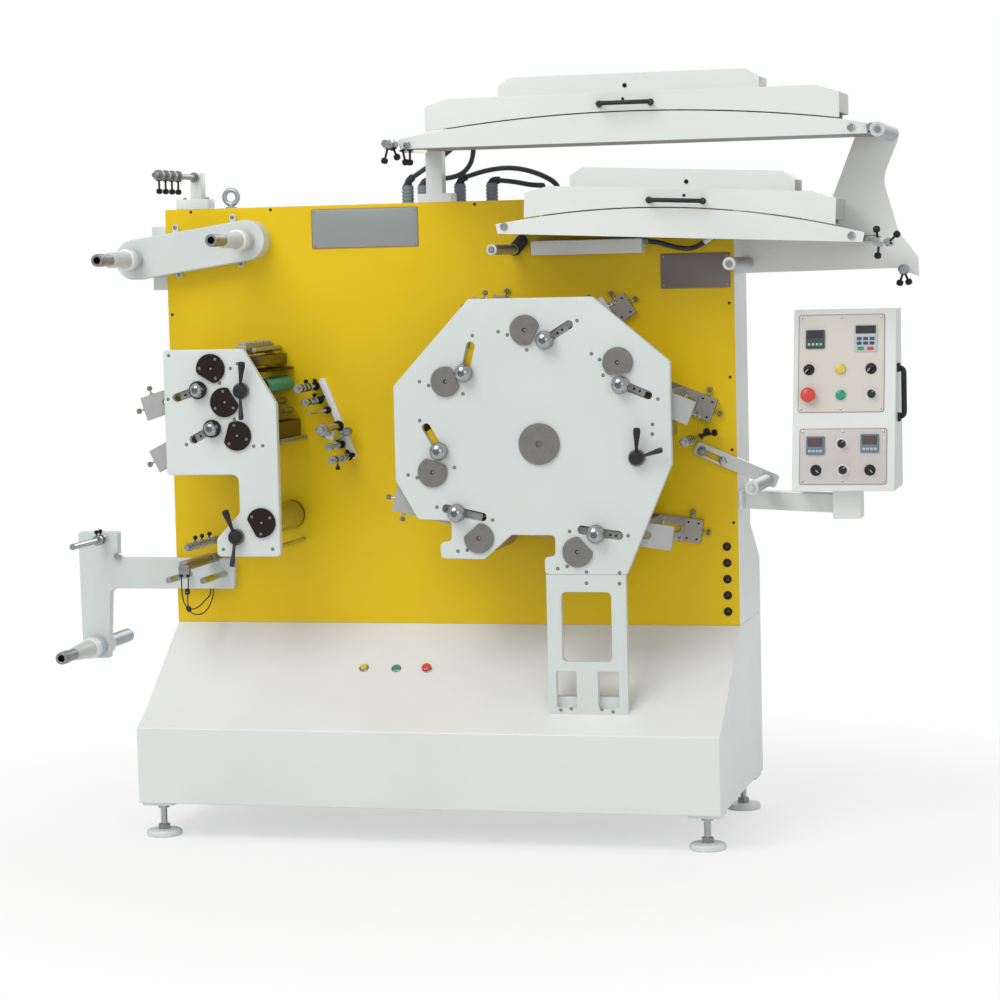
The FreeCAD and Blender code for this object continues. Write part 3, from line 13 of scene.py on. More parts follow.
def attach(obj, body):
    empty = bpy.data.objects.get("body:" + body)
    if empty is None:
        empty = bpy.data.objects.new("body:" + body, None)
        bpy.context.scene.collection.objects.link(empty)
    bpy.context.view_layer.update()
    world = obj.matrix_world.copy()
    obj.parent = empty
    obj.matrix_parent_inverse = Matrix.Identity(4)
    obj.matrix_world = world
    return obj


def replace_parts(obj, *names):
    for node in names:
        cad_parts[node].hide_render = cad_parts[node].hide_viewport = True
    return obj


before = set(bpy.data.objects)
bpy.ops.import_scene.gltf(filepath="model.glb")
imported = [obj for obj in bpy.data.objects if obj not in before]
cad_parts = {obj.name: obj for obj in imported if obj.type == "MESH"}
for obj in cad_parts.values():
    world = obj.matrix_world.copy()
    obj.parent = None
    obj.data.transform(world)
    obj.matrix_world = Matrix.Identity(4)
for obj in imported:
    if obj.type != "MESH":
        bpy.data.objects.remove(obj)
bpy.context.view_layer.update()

MM = 0.001
ORIGIN_X = 925.0
ORIGIN_Y = 356.5
OUT = Vector((0, -1, 0))
UP = Vector((0, 0, 1))

# Planes and edges of the solids that the pieces are set against
PLATE_FRONT = 80.0
PLATE_BACK = 100.0
PANEL_FRONT = 358.0
LID_FRONT = 130.0
BODY_TOP = 1748.0
GLAND_Y = 465.0


def at(x, y, z):
    """A place in the press's millimetres, in metres in the shared frame."""
    return Vector(((x - ORIGIN_X) * MM, (y - ORIGIN_Y) * MM, z * MM))


def srgb(red, green, blue):
    """A colour as it is seen on screen, from 0 to 255, made linear."""
    made = []
    for level in (red, green, blue):
        level /= 255
        made.append(level / 12.92 if level <= 0.04045 else ((level + 0.055) / 1.055) ** 2.4)
    return (*made, 1.0)


def shade(colour, factor):
    """A colour made darker or lighter."""
    return (*(min(1.0, c * factor) for c in colour[:3]), 1.0)


# Shader maths

class Value:
    """A shader socket that sums and products can be written on."""

    def __init__(self, net, socket):
        self.net = net
        self.socket = socket

    def maths(self, operation, *values):
        return self.net.node("Math", {"operation": operation}, values)

    def __add__(self, other):
        return self.maths("ADD", self, other)

    def __sub__(self, other):
        return self.maths("SUBTRACT", self, other)

    def __rsub__(self, other):
        return self.maths("SUBTRACT", other, self)

    def __mul__(self, other):
        return self.maths("MULTIPLY", self, other)

    def sine(self):
        return self.maths("SINE", self)

    def above(self, low, high):
        """0 below low, 1 above high, with a smooth step between."""
        return self.net.node("MapRange", {"interpolation_type": "SMOOTHSTEP"}, {0: self, 1: low, 2: high})

    __radd__ = __add__
    __rmul__ = __mul__


class Net:
    """The nodes of one finish, or of the world."""

    def __init__(self, name, owner=None):
        self.owner = owner or bpy.data.materials.new(name)
        self.owner.use_nodes = True
        self.tree = self.owner.node_tree
        self.tree.nodes.clear()

    def feed(self, socket, value):
        if isinstance(value, Value):
            self.tree.links.new(value.socket, socket)
        else:
            socket.default_value = value

    def node(self, kind, settings=None, inputs=(), out=0):
        made = self.tree.nodes.new("ShaderNode" + kind)
        for key, setting in (settings or {}).items():
            setattr(made, key, setting)
        pairs = inputs.items() if isinstance(inputs, dict) else enumerate(inputs)
        for key, value in pairs:
            self.feed(made.inputs[key], value)
        return Value(self, made.outputs[out])

    def place(self):
        return self.node("TexCoord", out="Object")

    def noise(self, scale, detail=2.0, stretch=None):
        spot = self.place()
        if stretch:
            spot = self.node("Mapping", None, {"Vector": spot, "Scale": stretch})
        return self.node("TexNoise", None, {"Vector": spot, "Scale": scale, "Detail": detail})

    def spin(self, axis):
        """A turned form's own radius (0) or height (1) in metres, or its turn (2) from 0 to 1."""
        whole = self.node("Attribute", {"attribute_name": "spin"}, out="Vector")
        return self.node("SeparateXYZ", None, [whole], out=axis)

    def blend(self, factor, low, high):
        return self.node("Mix", {"data_type": "RGBA"}, {0: factor, 6: low, 7: high}, out=2)

    def surface(self, colour, roughness, metallic=0.0, height=None, depth=0.0, **fixed):
        shader = self.tree.nodes.new("ShaderNodeBsdfPrincipled")
        self.feed(shader.inputs["Base Color"], colour)
        self.feed(shader.inputs["Roughness"], roughness)
        self.feed(shader.inputs["Metallic"], metallic)
        for key, value in fixed.items():
            shader.inputs[key.replace("_", " ")].default_value = value
        if height is not None:
            relief = self.node("Bump", None, {"Strength": 1.0, "Distance": depth, "Height": height})
            self.feed(shader.inputs["Normal"], relief)
        end = self.tree.nodes.new("ShaderNodeOutputMaterial")
        self.tree.links.new(shader.outputs[0], end.inputs[0])
        return self.owner


# Finishes

def paint(name, colour, roughness=0.36, depth=0.00003, coat=0.15, gloss=0.5):
    """Sprayed enamel: a fine peel, slow drifts of tone and a few dull patches."""
    net = Net(name)
    drift = net.noise(2.2, 3.0)
    patch = net.noise(14.0, 4.0)
    peel = net.noise(520.0, 2.0)
    tone = net.blend(drift.above(0.3, 0.7), shade(colour, 0.965), shade(colour, 1.02))
    return net.surface(tone, patch.above(0.2, 0.8) * 0.1 + (roughness - 0.05), height=peel, depth=depth,
                       Coat_Weight=coat, Coat_Roughness=0.2, Specular_IOR_Level=gloss)


def turned_metal(name, colour, roughness, depth=0.00004, pitch=5200.0):
    """Metal off the lathe: fine rings round its own axis, with some of them duller."""
    net = Net(name)
    run = net.spin(0) * pitch + net.spin(1) * (pitch * 0.7)
    rings = net.node("TexNoise", {"noise_dimensions": "1D"}, {"W": run, "Scale": 1.0, "Detail": 3.0})
    stain = net.noise(38.0, 4.0)
    tone = net.blend(rings * 0.55 + stain * 0.45, shade(colour, 0.72), shade(colour, 1.22))
    return net.surface(tone, rings * 0.18 + stain * 0.12 + (roughness - 0.12), 1.0, rings, depth)


def ground_metal(name, colour, roughness, grain=(4.0, 90.0, 90.0), depth=0.00003):
    """Milled or drawn metal with a straight grain."""
    net = Net(name)
    lines = net.noise(16.0, 4.0, grain)
    cloud = net.noise(9.0, 3.0)
    tone = net.blend(lines * 0.5 + cloud * 0.5, shade(colour, 0.82), shade(colour, 1.12))
    return net.surface(tone, lines * 0.16 + cloud * 0.14 + (roughness - 0.13), 1.0, lines, depth)


def plated(name, colour, roughness=0.09):
    """Bright plating with faint smears."""
    net = Net(name)
    smear = net.noise(60.0, 5.0)
    tone = net.blend(smear, shade(colour, 0.9), shade(colour, 1.05))
    return net.surface(tone, smear.above(0.35, 0.8) * 0.12 + roughness, 1.0)


def knurled(name, colour, roughness, metallic, turns=46.0, rows=1300.0):
    """Crossed knurling round a turned form, with painted shade in its grooves."""
    net = Net(name)
    round_ = net.spin(2) * (turns * math.tau)
    rise = net.spin(1) * rows
    cross = (round_ + rise).sine() * (round_ - rise).sine()
    # The knurl's grooves are darker: painted shade.
    return net.surface(net.blend(cross.above(-0.4, 0.7), shade(colour, 0.6), colour), roughness, metallic,
                       cross, 0.0003)


def moulded(name, colour, roughness=0.42, depth=0.00005, coat=0.0):
    """Moulded plastic with a fine spark-eroded grain."""
    net = Net(name)
    grain = net.noise(1500.0, 2.0)
    wear = net.noise(25.0, 3.0)
    tone = net.blend(wear, shade(colour, 0.9), shade(colour, 1.1))
    return net.surface(tone, wear * 0.12 + (roughness - 0.06), height=grain, depth=depth, Coat_Weight=coat)


def rubber(name, colour, roughness):
    """Rubber with a faint bloom."""
    net = Net(name)
    bloom = net.noise(70.0, 5.0)
    grain = net.noise(1100.0, 3.0)
    tone = net.blend(bloom.above(0.45, 0.75), colour, shade(colour, 1.7))
    return net.surface(tone, bloom * 0.2 + (roughness - 0.1), height=grain, depth=0.00008)


def glazed(name, colour, roughness=0.12):
    """A smoked window over a display."""
    net = Net(name)
    film = net.noise(40.0, 3.0)
    return net.surface(net.blend(film, shade(colour, 0.85), shade(colour, 1.15)), film * 0.05 + roughness,
                       Coat_Weight=0.6, Coat_Roughness=0.05)


def lit(name, colour, strength=1.0):
    """A lit figure behind a display window."""
    net = Net(name)
    glow = net.noise(300.0, 1.0)
    shader_colour = net.blend(glow, shade(colour, 0.85), colour)
    made = net.surface(shader_colour, 0.4, Emission_Strength=strength)
    shader = made.node_tree.nodes["Principled BSDF"]
    net.feed(shader.inputs["Emission Color"], shader_colour)
    return made


def brushed_film(name, colour):
    """The blank nameplates' brushed film, with slow drifts of tone."""
    net = Net(name)
    lines = net.noise(10.0, 5.0, (60.0, 3.0, 3.0))
    cloud = net.noise(5.0, 2.0)
    tone = net.blend(lines * 0.4 + cloud * 0.6, shade(colour, 0.92), shade(colour, 1.1))
    return net.surface(tone, cloud * 0.15 + 0.33, 0.35, lines, 0.00002)


WHITE = paint("white enamel", srgb(224, 229, 226))
PLATE_WHITE = paint("plate enamel", srgb(212, 220, 217))
END_GREY = paint("shaded end enamel", srgb(186, 188, 184), 0.5)
# A lighter copy of the white enamel: painted light on the base's upward faces, the heater box and the hood
# bracket's white part, and a paler white on other parts.
PALE_WHITE_AND_PAINTED_LIGHT = paint("pale white enamel and painted light", srgb(234, 236, 234))
YELLOW = paint("yellow enamel", srgb(232, 196, 12), 0.42, 0.00002, 0.05, 0.28)
# Painted shade and a painted reflection of the yellow panel, for the dryers' undersides.
UNDERSIDE_SHADE_AND_REFLECTION = paint("painted underside shade and reflection", srgb(132, 124, 108), 0.5)
STEEL = turned_metal("turned steel", srgb(156, 158, 158), 0.36)
CAP_STEEL = turned_metal("grey turned steel", srgb(142, 140, 137), 0.4)
CAP_DARK = turned_metal("blackened turned steel", srgb(58, 49, 47), 0.4)
POLISHED = turned_metal("polished steel", srgb(196, 198, 198), 0.26, 0.000015)
CHROME = plated("chrome plate", srgb(176, 180, 182), 0.16)
KNOB_CENTRE = plated("grey knob centre", srgb(112, 118, 124), 0.2)
ALUMINIUM = ground_metal("milled aluminium", srgb(186, 188, 188), 0.4)
SATIN_ALUMINIUM = ground_metal("satin aluminium", srgb(216, 218, 216), 0.42, (60.0, 4.0, 60.0))
BLACKENED = ground_metal("blackened steel", srgb(48, 45, 43), 0.42)
DULL_SCREW = moulded("dull screw", srgb(116, 120, 112), 0.5)
BRASS = ground_metal("stained brass", srgb(112, 104, 78), 0.36)
BLACK_KNURL = knurled("black knurling", srgb(36, 34, 33), 0.45, 0.4)
STEEL_KNURL = knurled("steel knurling", srgb(172, 168, 160), 0.3, 1.0, 34.0)
BLACK = moulded("black plastic", srgb(13, 13, 15), 0.48, coat=0.04)
GREY_PLASTIC = moulded("grey moulding", srgb(128, 138, 142), 0.45)
BLUE_BLACK = moulded("blue-black moulding", srgb(34, 41, 50), 0.4)
HOSE = rubber("hose rubber", srgb(50, 54, 60), 0.5)
CORD = rubber("cord sheath", srgb(32, 32, 34), 0.5)
GREEN_RUBBER = rubber("green roller rubber", srgb(14, 142, 120), 0.36)
FOOT_RUBBER = moulded("foot pad", srgb(222, 228, 227), 0.5)
# Painted shade for the inside of the spindles' bored noses.
BORE_SHADE = moulded("painted bore shade", srgb(20, 19, 18), 0.7)
DARK_BROWN = moulded("brown grommet core", srgb(74, 44, 26), 0.5)
BUTTON_YELLOW = moulded("yellow button", srgb(226, 196, 62), 0.3, coat=0.3)
BUTTON_GREEN = moulded("green button", srgb(30, 150, 116), 0.3, coat=0.3)
BUTTON_RED = moulded("red button", srgb(214, 62, 54), 0.32, coat=0.3)
BEZEL = moulded("pale bezel", srgb(214, 217, 214), 0.35)
METER_GREY = moulded("meter front", srgb(74, 74, 76), 0.35)
KEYPAD = moulded("keypad grey", srgb(190, 197, 198), 0.4)
KEY_BLUE = moulded("blue key", srgb(52, 74, 110), 0.4)
WINDOW = glazed("smoked window", srgb(42, 40, 46))
DIGIT_GREEN = lit("green figure", srgb(70, 200, 170), 0.6)
NAMEPLATE = brushed_film("blank nameplate", srgb(152, 160, 158))
SMALL_NAMEPLATE = brushed_film("blank brown nameplate", srgb(126, 120, 117))
CAP_SCREW = turned_metal("cap screw", srgb(150, 148, 146), 0.4)
PLATE_RUBBER = rubber("printing plate", srgb(150, 120, 88), 0.45)
REAR_ALUMINIUM = ground_metal("dull aluminium", srgb(178, 173, 167), 0.5)
FACE_ALUMINIUM = moulded("brushed carriage face", srgb(168, 169, 168), 0.42, 0.00002)
ROLLER_GREY = turned_metal("grey roller skin", srgb(178, 184, 188), 0.4, 0.00002)
PALE_SLEEVE = moulded("pale sleeve", srgb(206, 210, 209), 0.4, 0.00002, 0.2)
SHAFT_BLUE = moulded("blue-white shaft", srgb(186, 198, 208), 0.4, 0.00002, 0.2)
PANEL_ROSE = paint("rosy panel", srgb(204, 198, 194), 0.42)
PANEL_BEIGE = paint("beige panel", srgb(214, 210, 200), 0.42)
PANEL_EDGE = moulded("grey-brown edge", srgb(150, 140, 132), 0.5)
PLATE_EDGE = moulded("copper-brown edge", srgb(158, 120, 92), 0.5)
METER_GREEN = moulded("dark green meter row", srgb(46, 78, 66), 0.4)
METER_PALE = moulded("grey-blue meter", srgb(104, 124, 140), 0.4)
DIM_RED = moulded("faint red figure", srgb(150, 60, 58), 0.4)


# Mesh building

WELD = 0.00002
PIN_EASE = 0.6
SHARP_FORM = math.radians(32)
SHARP_SOLID = math.radians(30)
SHARP_HEAD = math.radians(40)
HEAD_SIDES = 12
CORNER_STEPS = 5


class Form:
    """A mesh in the making, from turned, swept and flat shapes that each carry their own finish."""

    def __init__(self):
        self.verts = []
        self.faces = []
        self.finish = []
        self.spins = []
        self.finishes = []

    def number(self, finish):
        if finish not in self.finishes:
            self.finishes.append(finish)
        return self.finishes.index(finish)

    def add(self, verts, faces, finish, spins=None):
        start = len(self.verts)
        number = self.number(finish)
        self.verts += verts
        for i, face in enumerate(faces):
            self.faces.append([start + v for v in face])
            self.finish.append(number)
            self.spins.append(spins[i] if spins else [(0.0, 0.0, 0.0)] * len(face))

    def take(self, mesh, finish):
        """Takes over a bmesh and frees it."""
        mesh.verts.index_update()
        verts = [v.co.copy() for v in mesh.verts]
        faces = [[v.index for v in face.verts] for face in mesh.faces]
        mesh.free()
        self.add(verts, faces, finish)

    def turned(self, foot, axis, profile, finish, sides=28, flat=None):
        """A form turned round an axis.  The profile lists (radius, height) in mm from its foot, and it is
        closed where a radius is 0.  flat = (direction, distance) cuts a flat."""
        axis = axis.normalized()
        u = axis.orthogonal().normalized()
        if abs(axis.y) > 0.9:
            u = Vector((1, 0, 0))
        v = axis.cross(u)
        verts = []
        rings = []
        for radius, height in profile:
            centre = foot + axis * (height * MM)
            if radius <= 0:
                rings.append([len(verts)])
                verts.append(centre)
                continue
            ring = []
            for i in range(sides):
                a = math.tau * i / sides
                way = u * math.cos(a) + v * math.sin(a)
                reach = radius
                if flat:
                    face_on = way.dot(flat[0])
                    if face_on > 0:
                        reach = min(radius, flat[1] / face_on)
                ring.append(len(verts))
                verts.append(centre + way * (reach * MM))
            rings.append(ring)
        faces = []
        spins = []
        for k in range(len(profile) - 1):
            low, high = rings[k], rings[k + 1]
            (r0, h0), (r1, h1) = profile[k], profile[k + 1]
            for i in range(sides):
                j = (i + 1) % sides
                t0, t1 = i / sides, (i + 1) / sides
                corners = [(low, i, r0, h0, t0), (low, j, r0, h0, t1), (high, j, r1, h1, t1),
                           (high, i, r1, h1, t0)]
                if len(low) == 1:
                    corners = corners[1:]
                if len(high) == 1:
                    corners = corners[:-1] if len(low) > 1 else corners
                if len(low) == 1 and len(high) == 1:
                    continue
                faces.append([ring[n if len(ring) > 1 else 0] for ring, n, r, h, t in corners])
                spins.append([(r * MM, h * MM, t) for ring, n, r, h, t in corners])
        self.add(verts, faces, finish, spins)

    def pin(self, a, b, radius, finish, sides):
        """A round bar from a to b, its ends eased."""
        length = (b - a).length / MM
        ease = min(PIN_EASE, length / 3, radius / 2)
        self.turned(a, b - a, [(0, 0), (radius - ease, 0), (radius, ease), (radius, length - ease),
                               (radius - ease, length), (0, length)], finish, sides)

    def block(self, low, high, finish, ease=1.0, turn=None, segments=2):
        """A box between two corners in mm, its edges eased, turned by a matrix about its middle."""
        mesh = bmesh.new()
        bmesh.ops.create_cube(mesh, size=1.0)
        size = [(h - l) * MM for l, h in zip(low, high)]
        middle = at(*((l + h) / 2 for l, h in zip(low, high)))
        for vert in mesh.verts:
            vert.co = Vector(c * s for c, s in zip(vert.co, size))
        if ease:
            bmesh.ops.bevel(mesh, geom=mesh.edges[:], offset=min(ease * MM, min(size) * 0.45),
                            segments=segments, profile=0.5, affect="EDGES", clamp_overlap=True)
        for vert in mesh.verts:
            vert.co = middle + (turn @ vert.co if turn else vert.co)
        self.take(mesh, finish)

    def slab(self, outline, y0, y1, finish, ease=0.8, place=None):
        """A flat plate: its outline in x and z, from y0 back to y1, with the front edge eased."""
        mesh = bmesh.new()
        corners = [mesh.verts.new(at(x, y1, z) if place is None else place(x, y1, z)) for x, z in outline]
        mesh.faces.new(corners)
        front = [mesh.verts.new(at(x, y0, z) if place is None else place(x, y0, z)) for x, z in outline]
        lid = mesh.faces.new(front[::-1])
        count = len(outline)
        for i in range(count):
            j = (i + 1) % count
            mesh.faces.new([corners[i], front[i], front[j], corners[j]])
        bmesh.ops.recalc_face_normals(mesh, faces=mesh.faces[:])
        if ease:
            bmesh.ops.bevel(mesh, geom=list(lid.edges), offset=ease * MM, segments=2, profile=0.5,
                            affect="EDGES", clamp_overlap=True)
        self.take(mesh, finish)

    def sweep(self, points, radius, finish, sides=12):
        """A round rod along points in metres, with its ends closed."""
        ways = [(b - a).normalized() for a, b in zip(points, points[1:])]
        side = ways[0].orthogonal().normalized()
        verts = []
        rings = []
        for i, point in enumerate(points):
            way = (ways[max(i - 1, 0)] + ways[min(i, len(ways) - 1)]).normalized()
            side = (side - way * side.dot(way)).normalized()
            other = way.cross(side)
            reach = radius[i] if isinstance(radius, (list, tuple)) else radius
            rings.append(range(len(verts), len(verts) + sides))
            for k in range(sides):
                a = math.tau * k / sides
                verts.append(point + (side * math.cos(a) + other * math.sin(a)) * (reach * MM))
        faces = []
        for low, high in zip(rings, rings[1:]):
            for k in range(sides):
                j = (k + 1) % sides
                faces.append([low[k], low[j], high[j], high[k]])
        faces.append(list(rings[0])[::-1])
        faces.append(list(rings[-1]))
        self.add(verts, faces, finish)

    def piece(self, name, body="frame"):
        """The finished object, riding on its body."""
        mesh = bpy.data.meshes.new(name)
        mesh.from_pydata(self.verts, [], self.faces)
        for finish in self.finishes:
            mesh.materials.append(finish)
        mesh.polygons.foreach_set("material_index", self.finish)
        spin = mesh.attributes.new("spin", "FLOAT_VECTOR", "CORNER")
        spin.data.foreach_set("vector", [c for face in self.spins for corner in face for c in corner])
        mesh.shade_smooth()
        mesh.set_sharp_from_angle(angle=SHARP_FORM)
        mesh.validate()
        return settled(bpy.data.objects.new(name, mesh), body)


def settled(made, body):
    """Puts an object in the scene, riding on its body."""
    if made.name not in bpy.context.scene.objects:
        bpy.context.scene.collection.objects.link(made)
    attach(made, body)
    return made


def rounded(outline, radius):
    """An outline whose corners are all rounded by one radius."""
    made = []
    count = len(outline)
    for i, corner in enumerate(outline):
        here = Vector(corner)
        before = Vector(outline[i - 1]) - here
        after = Vector(outline[(i + 1) % count]) - here
        run = min(radius / math.tan(before.angle(after) / 2), before.length * 0.48, after.length * 0.48)
        a = here + before.normalized() * run
        b = here + after.normalized() * run
        for k in range(CORNER_STEPS + 1):
            t = k / CORNER_STEPS
            made.append(tuple(a * (1 - t) ** 2 + here * (2 * t * (1 - t)) + b * t ** 2))
    return made


def softened(node, width, dress, body="frame", drop=None, segments=2):
    """A copy of a solid with eased edges, which replaces it.  dress is one finish, or picks each face's
    from its middle in mm and its normal; drop picks the faces that another piece stands for."""
    mesh = bmesh.new()
    mesh.from_mesh(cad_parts[node].data)
    bmesh.ops.remove_doubles(mesh, verts=mesh.verts[:], dist=WELD)
    bmesh.ops.dissolve_limit(mesh, angle_limit=math.radians(0.5), verts=mesh.verts[:], edges=mesh.edges[:])
    finishes = []
    lost = []
    for face in mesh.faces:
        middle = face.calc_center_median()
        spot = Vector((middle.x / MM + ORIGIN_X, middle.y / MM + ORIGIN_Y, middle.z / MM))
        if drop and drop(spot):
            lost.append(face)
            continue
        finish = dress(spot, face.normal) if callable(dress) else dress
        if finish not in finishes:
            finishes.append(finish)
        face.material_index = finishes.index(finish)
        face.smooth = True
    bmesh.ops.delete(mesh, geom=lost, context="FACES")
    data = bpy.data.meshes.new(node + "_eased")
    mesh.to_mesh(data)
    mesh.free()
    for finish in finishes:
        data.materials.append(finish)
    made = bpy.data.objects.new(node + "_eased", data)
    bpy.context.scene.collection.objects.link(made)
    if width:
        easing = made.modifiers.new("eased", "BEVEL")
        easing.width = width * MM
        easing.segments = segments
        easing.limit_method = "ANGLE"
        easing.angle_limit = SHARP_SOLID
        easing.use_clamp_overlap = False
        easing.harden_normals = True
    made.data.set_sharp_from_angle(angle=SHARP_SOLID)
    settled(made, body)
    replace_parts(made, node)
    return made


# What repeats

def socket_tree(name, inputs):
    tree = bpy.data.node_groups.new(name, "GeometryNodeTree")
    tree.interface.new_socket("Geometry", in_out="INPUT", socket_type="NodeSocketGeometry")
    for label, kind in inputs:
        tree.interface.new_socket(label, in_out="INPUT", socket_type="NodeSocket" + kind)
    tree.interface.new_socket("Geometry", in_out="OUTPUT", socket_type="NodeSocketGeometry")
    return tree


class Weave:
    """Adds and links the nodes of a geometry tree."""

    def __init__(self, name, inputs):
        self.tree = socket_tree(name, inputs)
        self.start = self.tree.nodes.new("NodeGroupInput")
        self.end = self.tree.nodes.new("NodeGroupOutput")

    def node(self, kind, settings=None, inputs=None, out=0):
        made = self.tree.nodes.new(kind)
        for key, setting in (settings or {}).items():
            setattr(made, key, setting)
        for key, value in (inputs or {}).items():
            if isinstance(value, bpy.types.NodeSocket):
                self.tree.links.new(value, made.inputs[key])
            else:
                made.inputs[key].default_value = value
        return made.outputs[out]

    def given(self, label):
        return self.start.outputs[label]

    def close(self, geometry):
        real = self.node("GeometryNodeRealizeInstances", None, {0: geometry})
        dressed = self.node("GeometryNodeSetMaterial", None, {
            "Geometry": real, "Material": self.given("Finish")})
        self.tree.links.new(dressed, self.end.inputs[0])
        return self.tree


def repeat_tree():
    """One head on every point, turned to face along the point's aim and scaled by its size."""
    weave = Weave("repeated heads", [("Head", "Object"), ("Finish", "Material")])
    head = weave.node("GeometryNodeObjectInfo", None, {"Object": weave.given("Head")}, out="Geometry")
    aim = weave.node("GeometryNodeInputNamedAttribute", {"data_type": "FLOAT_VECTOR"}, {"Name": "aim"})
    size = weave.node("GeometryNodeInputNamedAttribute", {"data_type": "FLOAT"}, {"Name": "size"})
    facing = weave.node("FunctionNodeAlignRotationToVector", {"axis": "Z"}, {"Vector": aim})
    spread = weave.node("GeometryNodeInstanceOnPoints", None, {
        "Points": weave.given("Geometry"), "Instance": head, "Rotation": facing, "Scale": size})
    return weave.close(spread)


REPEAT = repeat_tree()


def run_tree(name, base, tree, inputs, body):
    """Applies a geometry tree to a base mesh or curve and keeps the result as a plain mesh piece."""
    holder = bpy.data.objects.new(name + "_base", base)
    bpy.context.scene.collection.objects.link(holder)
    modifier = holder.modifiers.new("made", "NODES")
    modifier.node_group = tree
    for item in tree.interface.items_tree:
        if item.in_out == "INPUT" and item.name in inputs:
            modifier[item.identifier] = inputs[item.name]
    bpy.context.view_layer.update()
    result = bpy.data.meshes.new_from_object(holder.evaluated_get(bpy.context.evaluated_depsgraph_get()))
    bpy.data.objects.remove(holder)
    result.name = name
    return settled(bpy.data.objects.new(name, result), body)


def heads(name, places, profile, finish):
    """The same small turned head at many places; places lists (point, direction, size)."""
    form = Form()
    form.turned(Vector((0, 0, 0)), UP, profile, finish, HEAD_SIDES)
    mesh = bpy.data.meshes.new(name + "_head")
    mesh.from_pydata(form.verts, [], form.faces)
    mesh.shade_smooth()
    mesh.set_sharp_from_angle(angle=SHARP_HEAD)
    head = bpy.data.objects.new(name + "_head", mesh)
    bpy.context.scene.collection.objects.link(head)
    points = bpy.data.meshes.new(name + "_points")
    points.from_pydata([p for p, aim, size in places], [], [])
    points.attributes.new("aim", "FLOAT_VECTOR", "POINT").data.foreach_set(
        "vector", [c for p, aim, size in places for c in aim])
    points.attributes.new("size", "FLOAT", "POINT").data.foreach_set(
        "value", [size for p, aim, size in places])
    made = run_tree(name, points, REPEAT, {"Head": head, "Finish": finish}, "frame")
    bpy.data.objects.remove(head)
    return made


# Profiles of small heads, radius and height in mm
SOCKET_HEAD = [(0, 0), (6.4, 0), (6.4, 0.4), (5.9, 0.8), (5.4, 0.8), (5.1, 1.6), (4.7, 1.9), (3.0, 1.9),
               (2.7, 0.5), (0, 0.5)]
SUNK_HEAD = [(0, 0), (6.6, 0), (6.4, 0.5), (5.8, 0.7), (5.3, 0.3), (5.0, 0.6), (2.9, 0.7), (2.5, 0.3),
             (0, 0.3)]
HEX_HEAD = [(0, 0), (7.0, 0), (7.0, 1.0), (5.6, 1.0), (5.6, 4.6), (5.0, 5.2), (0, 5.2)]
SMALL_SOCKET = [(0, 0), (6.2, 0), (6.2, 0.6), (5.4, 1.6), (3.2, 1.8), (2.8, 0.5), (0, 0.5)]
DOT_HEAD = [(0, 0), (5.6, 0), (5.6, 1.6), (4.8, 2.4), (3.2, 2.6), (2.8, 1.4), (0, 1.4)]
HOOD_BOLT = [(0, 0), (10.5, 0), (10.5, 3), (9.4, 4.4), (6.4, 5), (5.6, 2), (0, 2)]
SOCKET_GLINT = [(0, 0.4), (2.4, 0.4), (2.4, 1.1), (1.5, 1.5), (0, 1.5)]


# Camera, light and floor

VIEW_PLACE = (2962.5, -7517.9, 1582.9)
VIEW_TURN = (14.22, -4.71, 1.37)
VIEW_LENS = 104.84
WORLD_LIGHT = 0.62
# Each lamp's name, its place and the place it faces in metres, its width and its power
LAMPS = (
    ("key softbox", (-1.6, -3.4, 5.2), (0.1, 0.0, 1.0), 3.4, 135.0),
    ("fill softbox", (3.6, -5.4, 2.6), (0.3, 0.0, 1.0), 3.0, 30.0),
    ("rear softbox", (0.5, 5.0, 3.6), (0.0, 0.0, 1.0), 3.4, 60.0),
)
FLOOR_GLOW = 0.56
FLOOR_NEAR = 0.9
FLOOR_FAR = 2.4
FLOOR_HALF = 60.0


def camera():
    """The photograph's own viewpoint."""
    yaw, pitch, roll = (math.radians(a) for a in VIEW_TURN)
    ahead = Vector((-math.sin(yaw) * math.cos(pitch), math.cos(yaw) * math.cos(pitch), math.sin(pitch)))
    level = Vector((math.cos(yaw), math.sin(yaw), 0))
    down = ahead.cross(level)
    across = level * math.cos(roll) + down * math.sin(roll)
    below = down * math.cos(roll) - level * math.sin(roll)
    data = bpy.data.cameras.new("view")
    data.sensor_fit = "HORIZONTAL"
    data.sensor_width = 36.0
    data.lens = VIEW_LENS
    data.clip_end = 100.0
    view = bpy.data.objects.new("view", data)
    bpy.context.scene.collection.objects.link(view)
    turn = Matrix((across, -below, -ahead)).transposed().to_4x4()
    view.matrix_world = Matrix.Translation(at(*VIEW_PLACE)) @ turn
    bpy.context.scene.camera = view
    bpy.context.scene.view_settings.view_transform = "Standard"


def seen_directly(net):
    """1 for what the camera sees itself, and 0 for the light on things."""
    rays = net.tree.nodes.new("ShaderNodeLightPath")
    return Value(net, rays.outputs["Is Camera Ray"])


def surroundings():
    """White all round for the eye, and an even, weaker light on the press."""
    world = bpy.data.worlds.new("studio")
    bpy.context.scene.world = world
    net = Net("studio", world)
    back = net.tree.nodes.new("ShaderNodeBackground")
    back.inputs["Color"].default_value = (1, 1, 1, 1)
    net.feed(back.inputs["Strength"], seen_directly(net) * (1.0 - WORLD_LIGHT) + WORLD_LIGHT)
    end = net.tree.nodes.new("ShaderNodeOutputWorld")
    net.tree.links.new(back.outputs[0], end.inputs[0])
    for name, place, target, width, power in LAMPS:
        lamp(name, place, target, width, power)


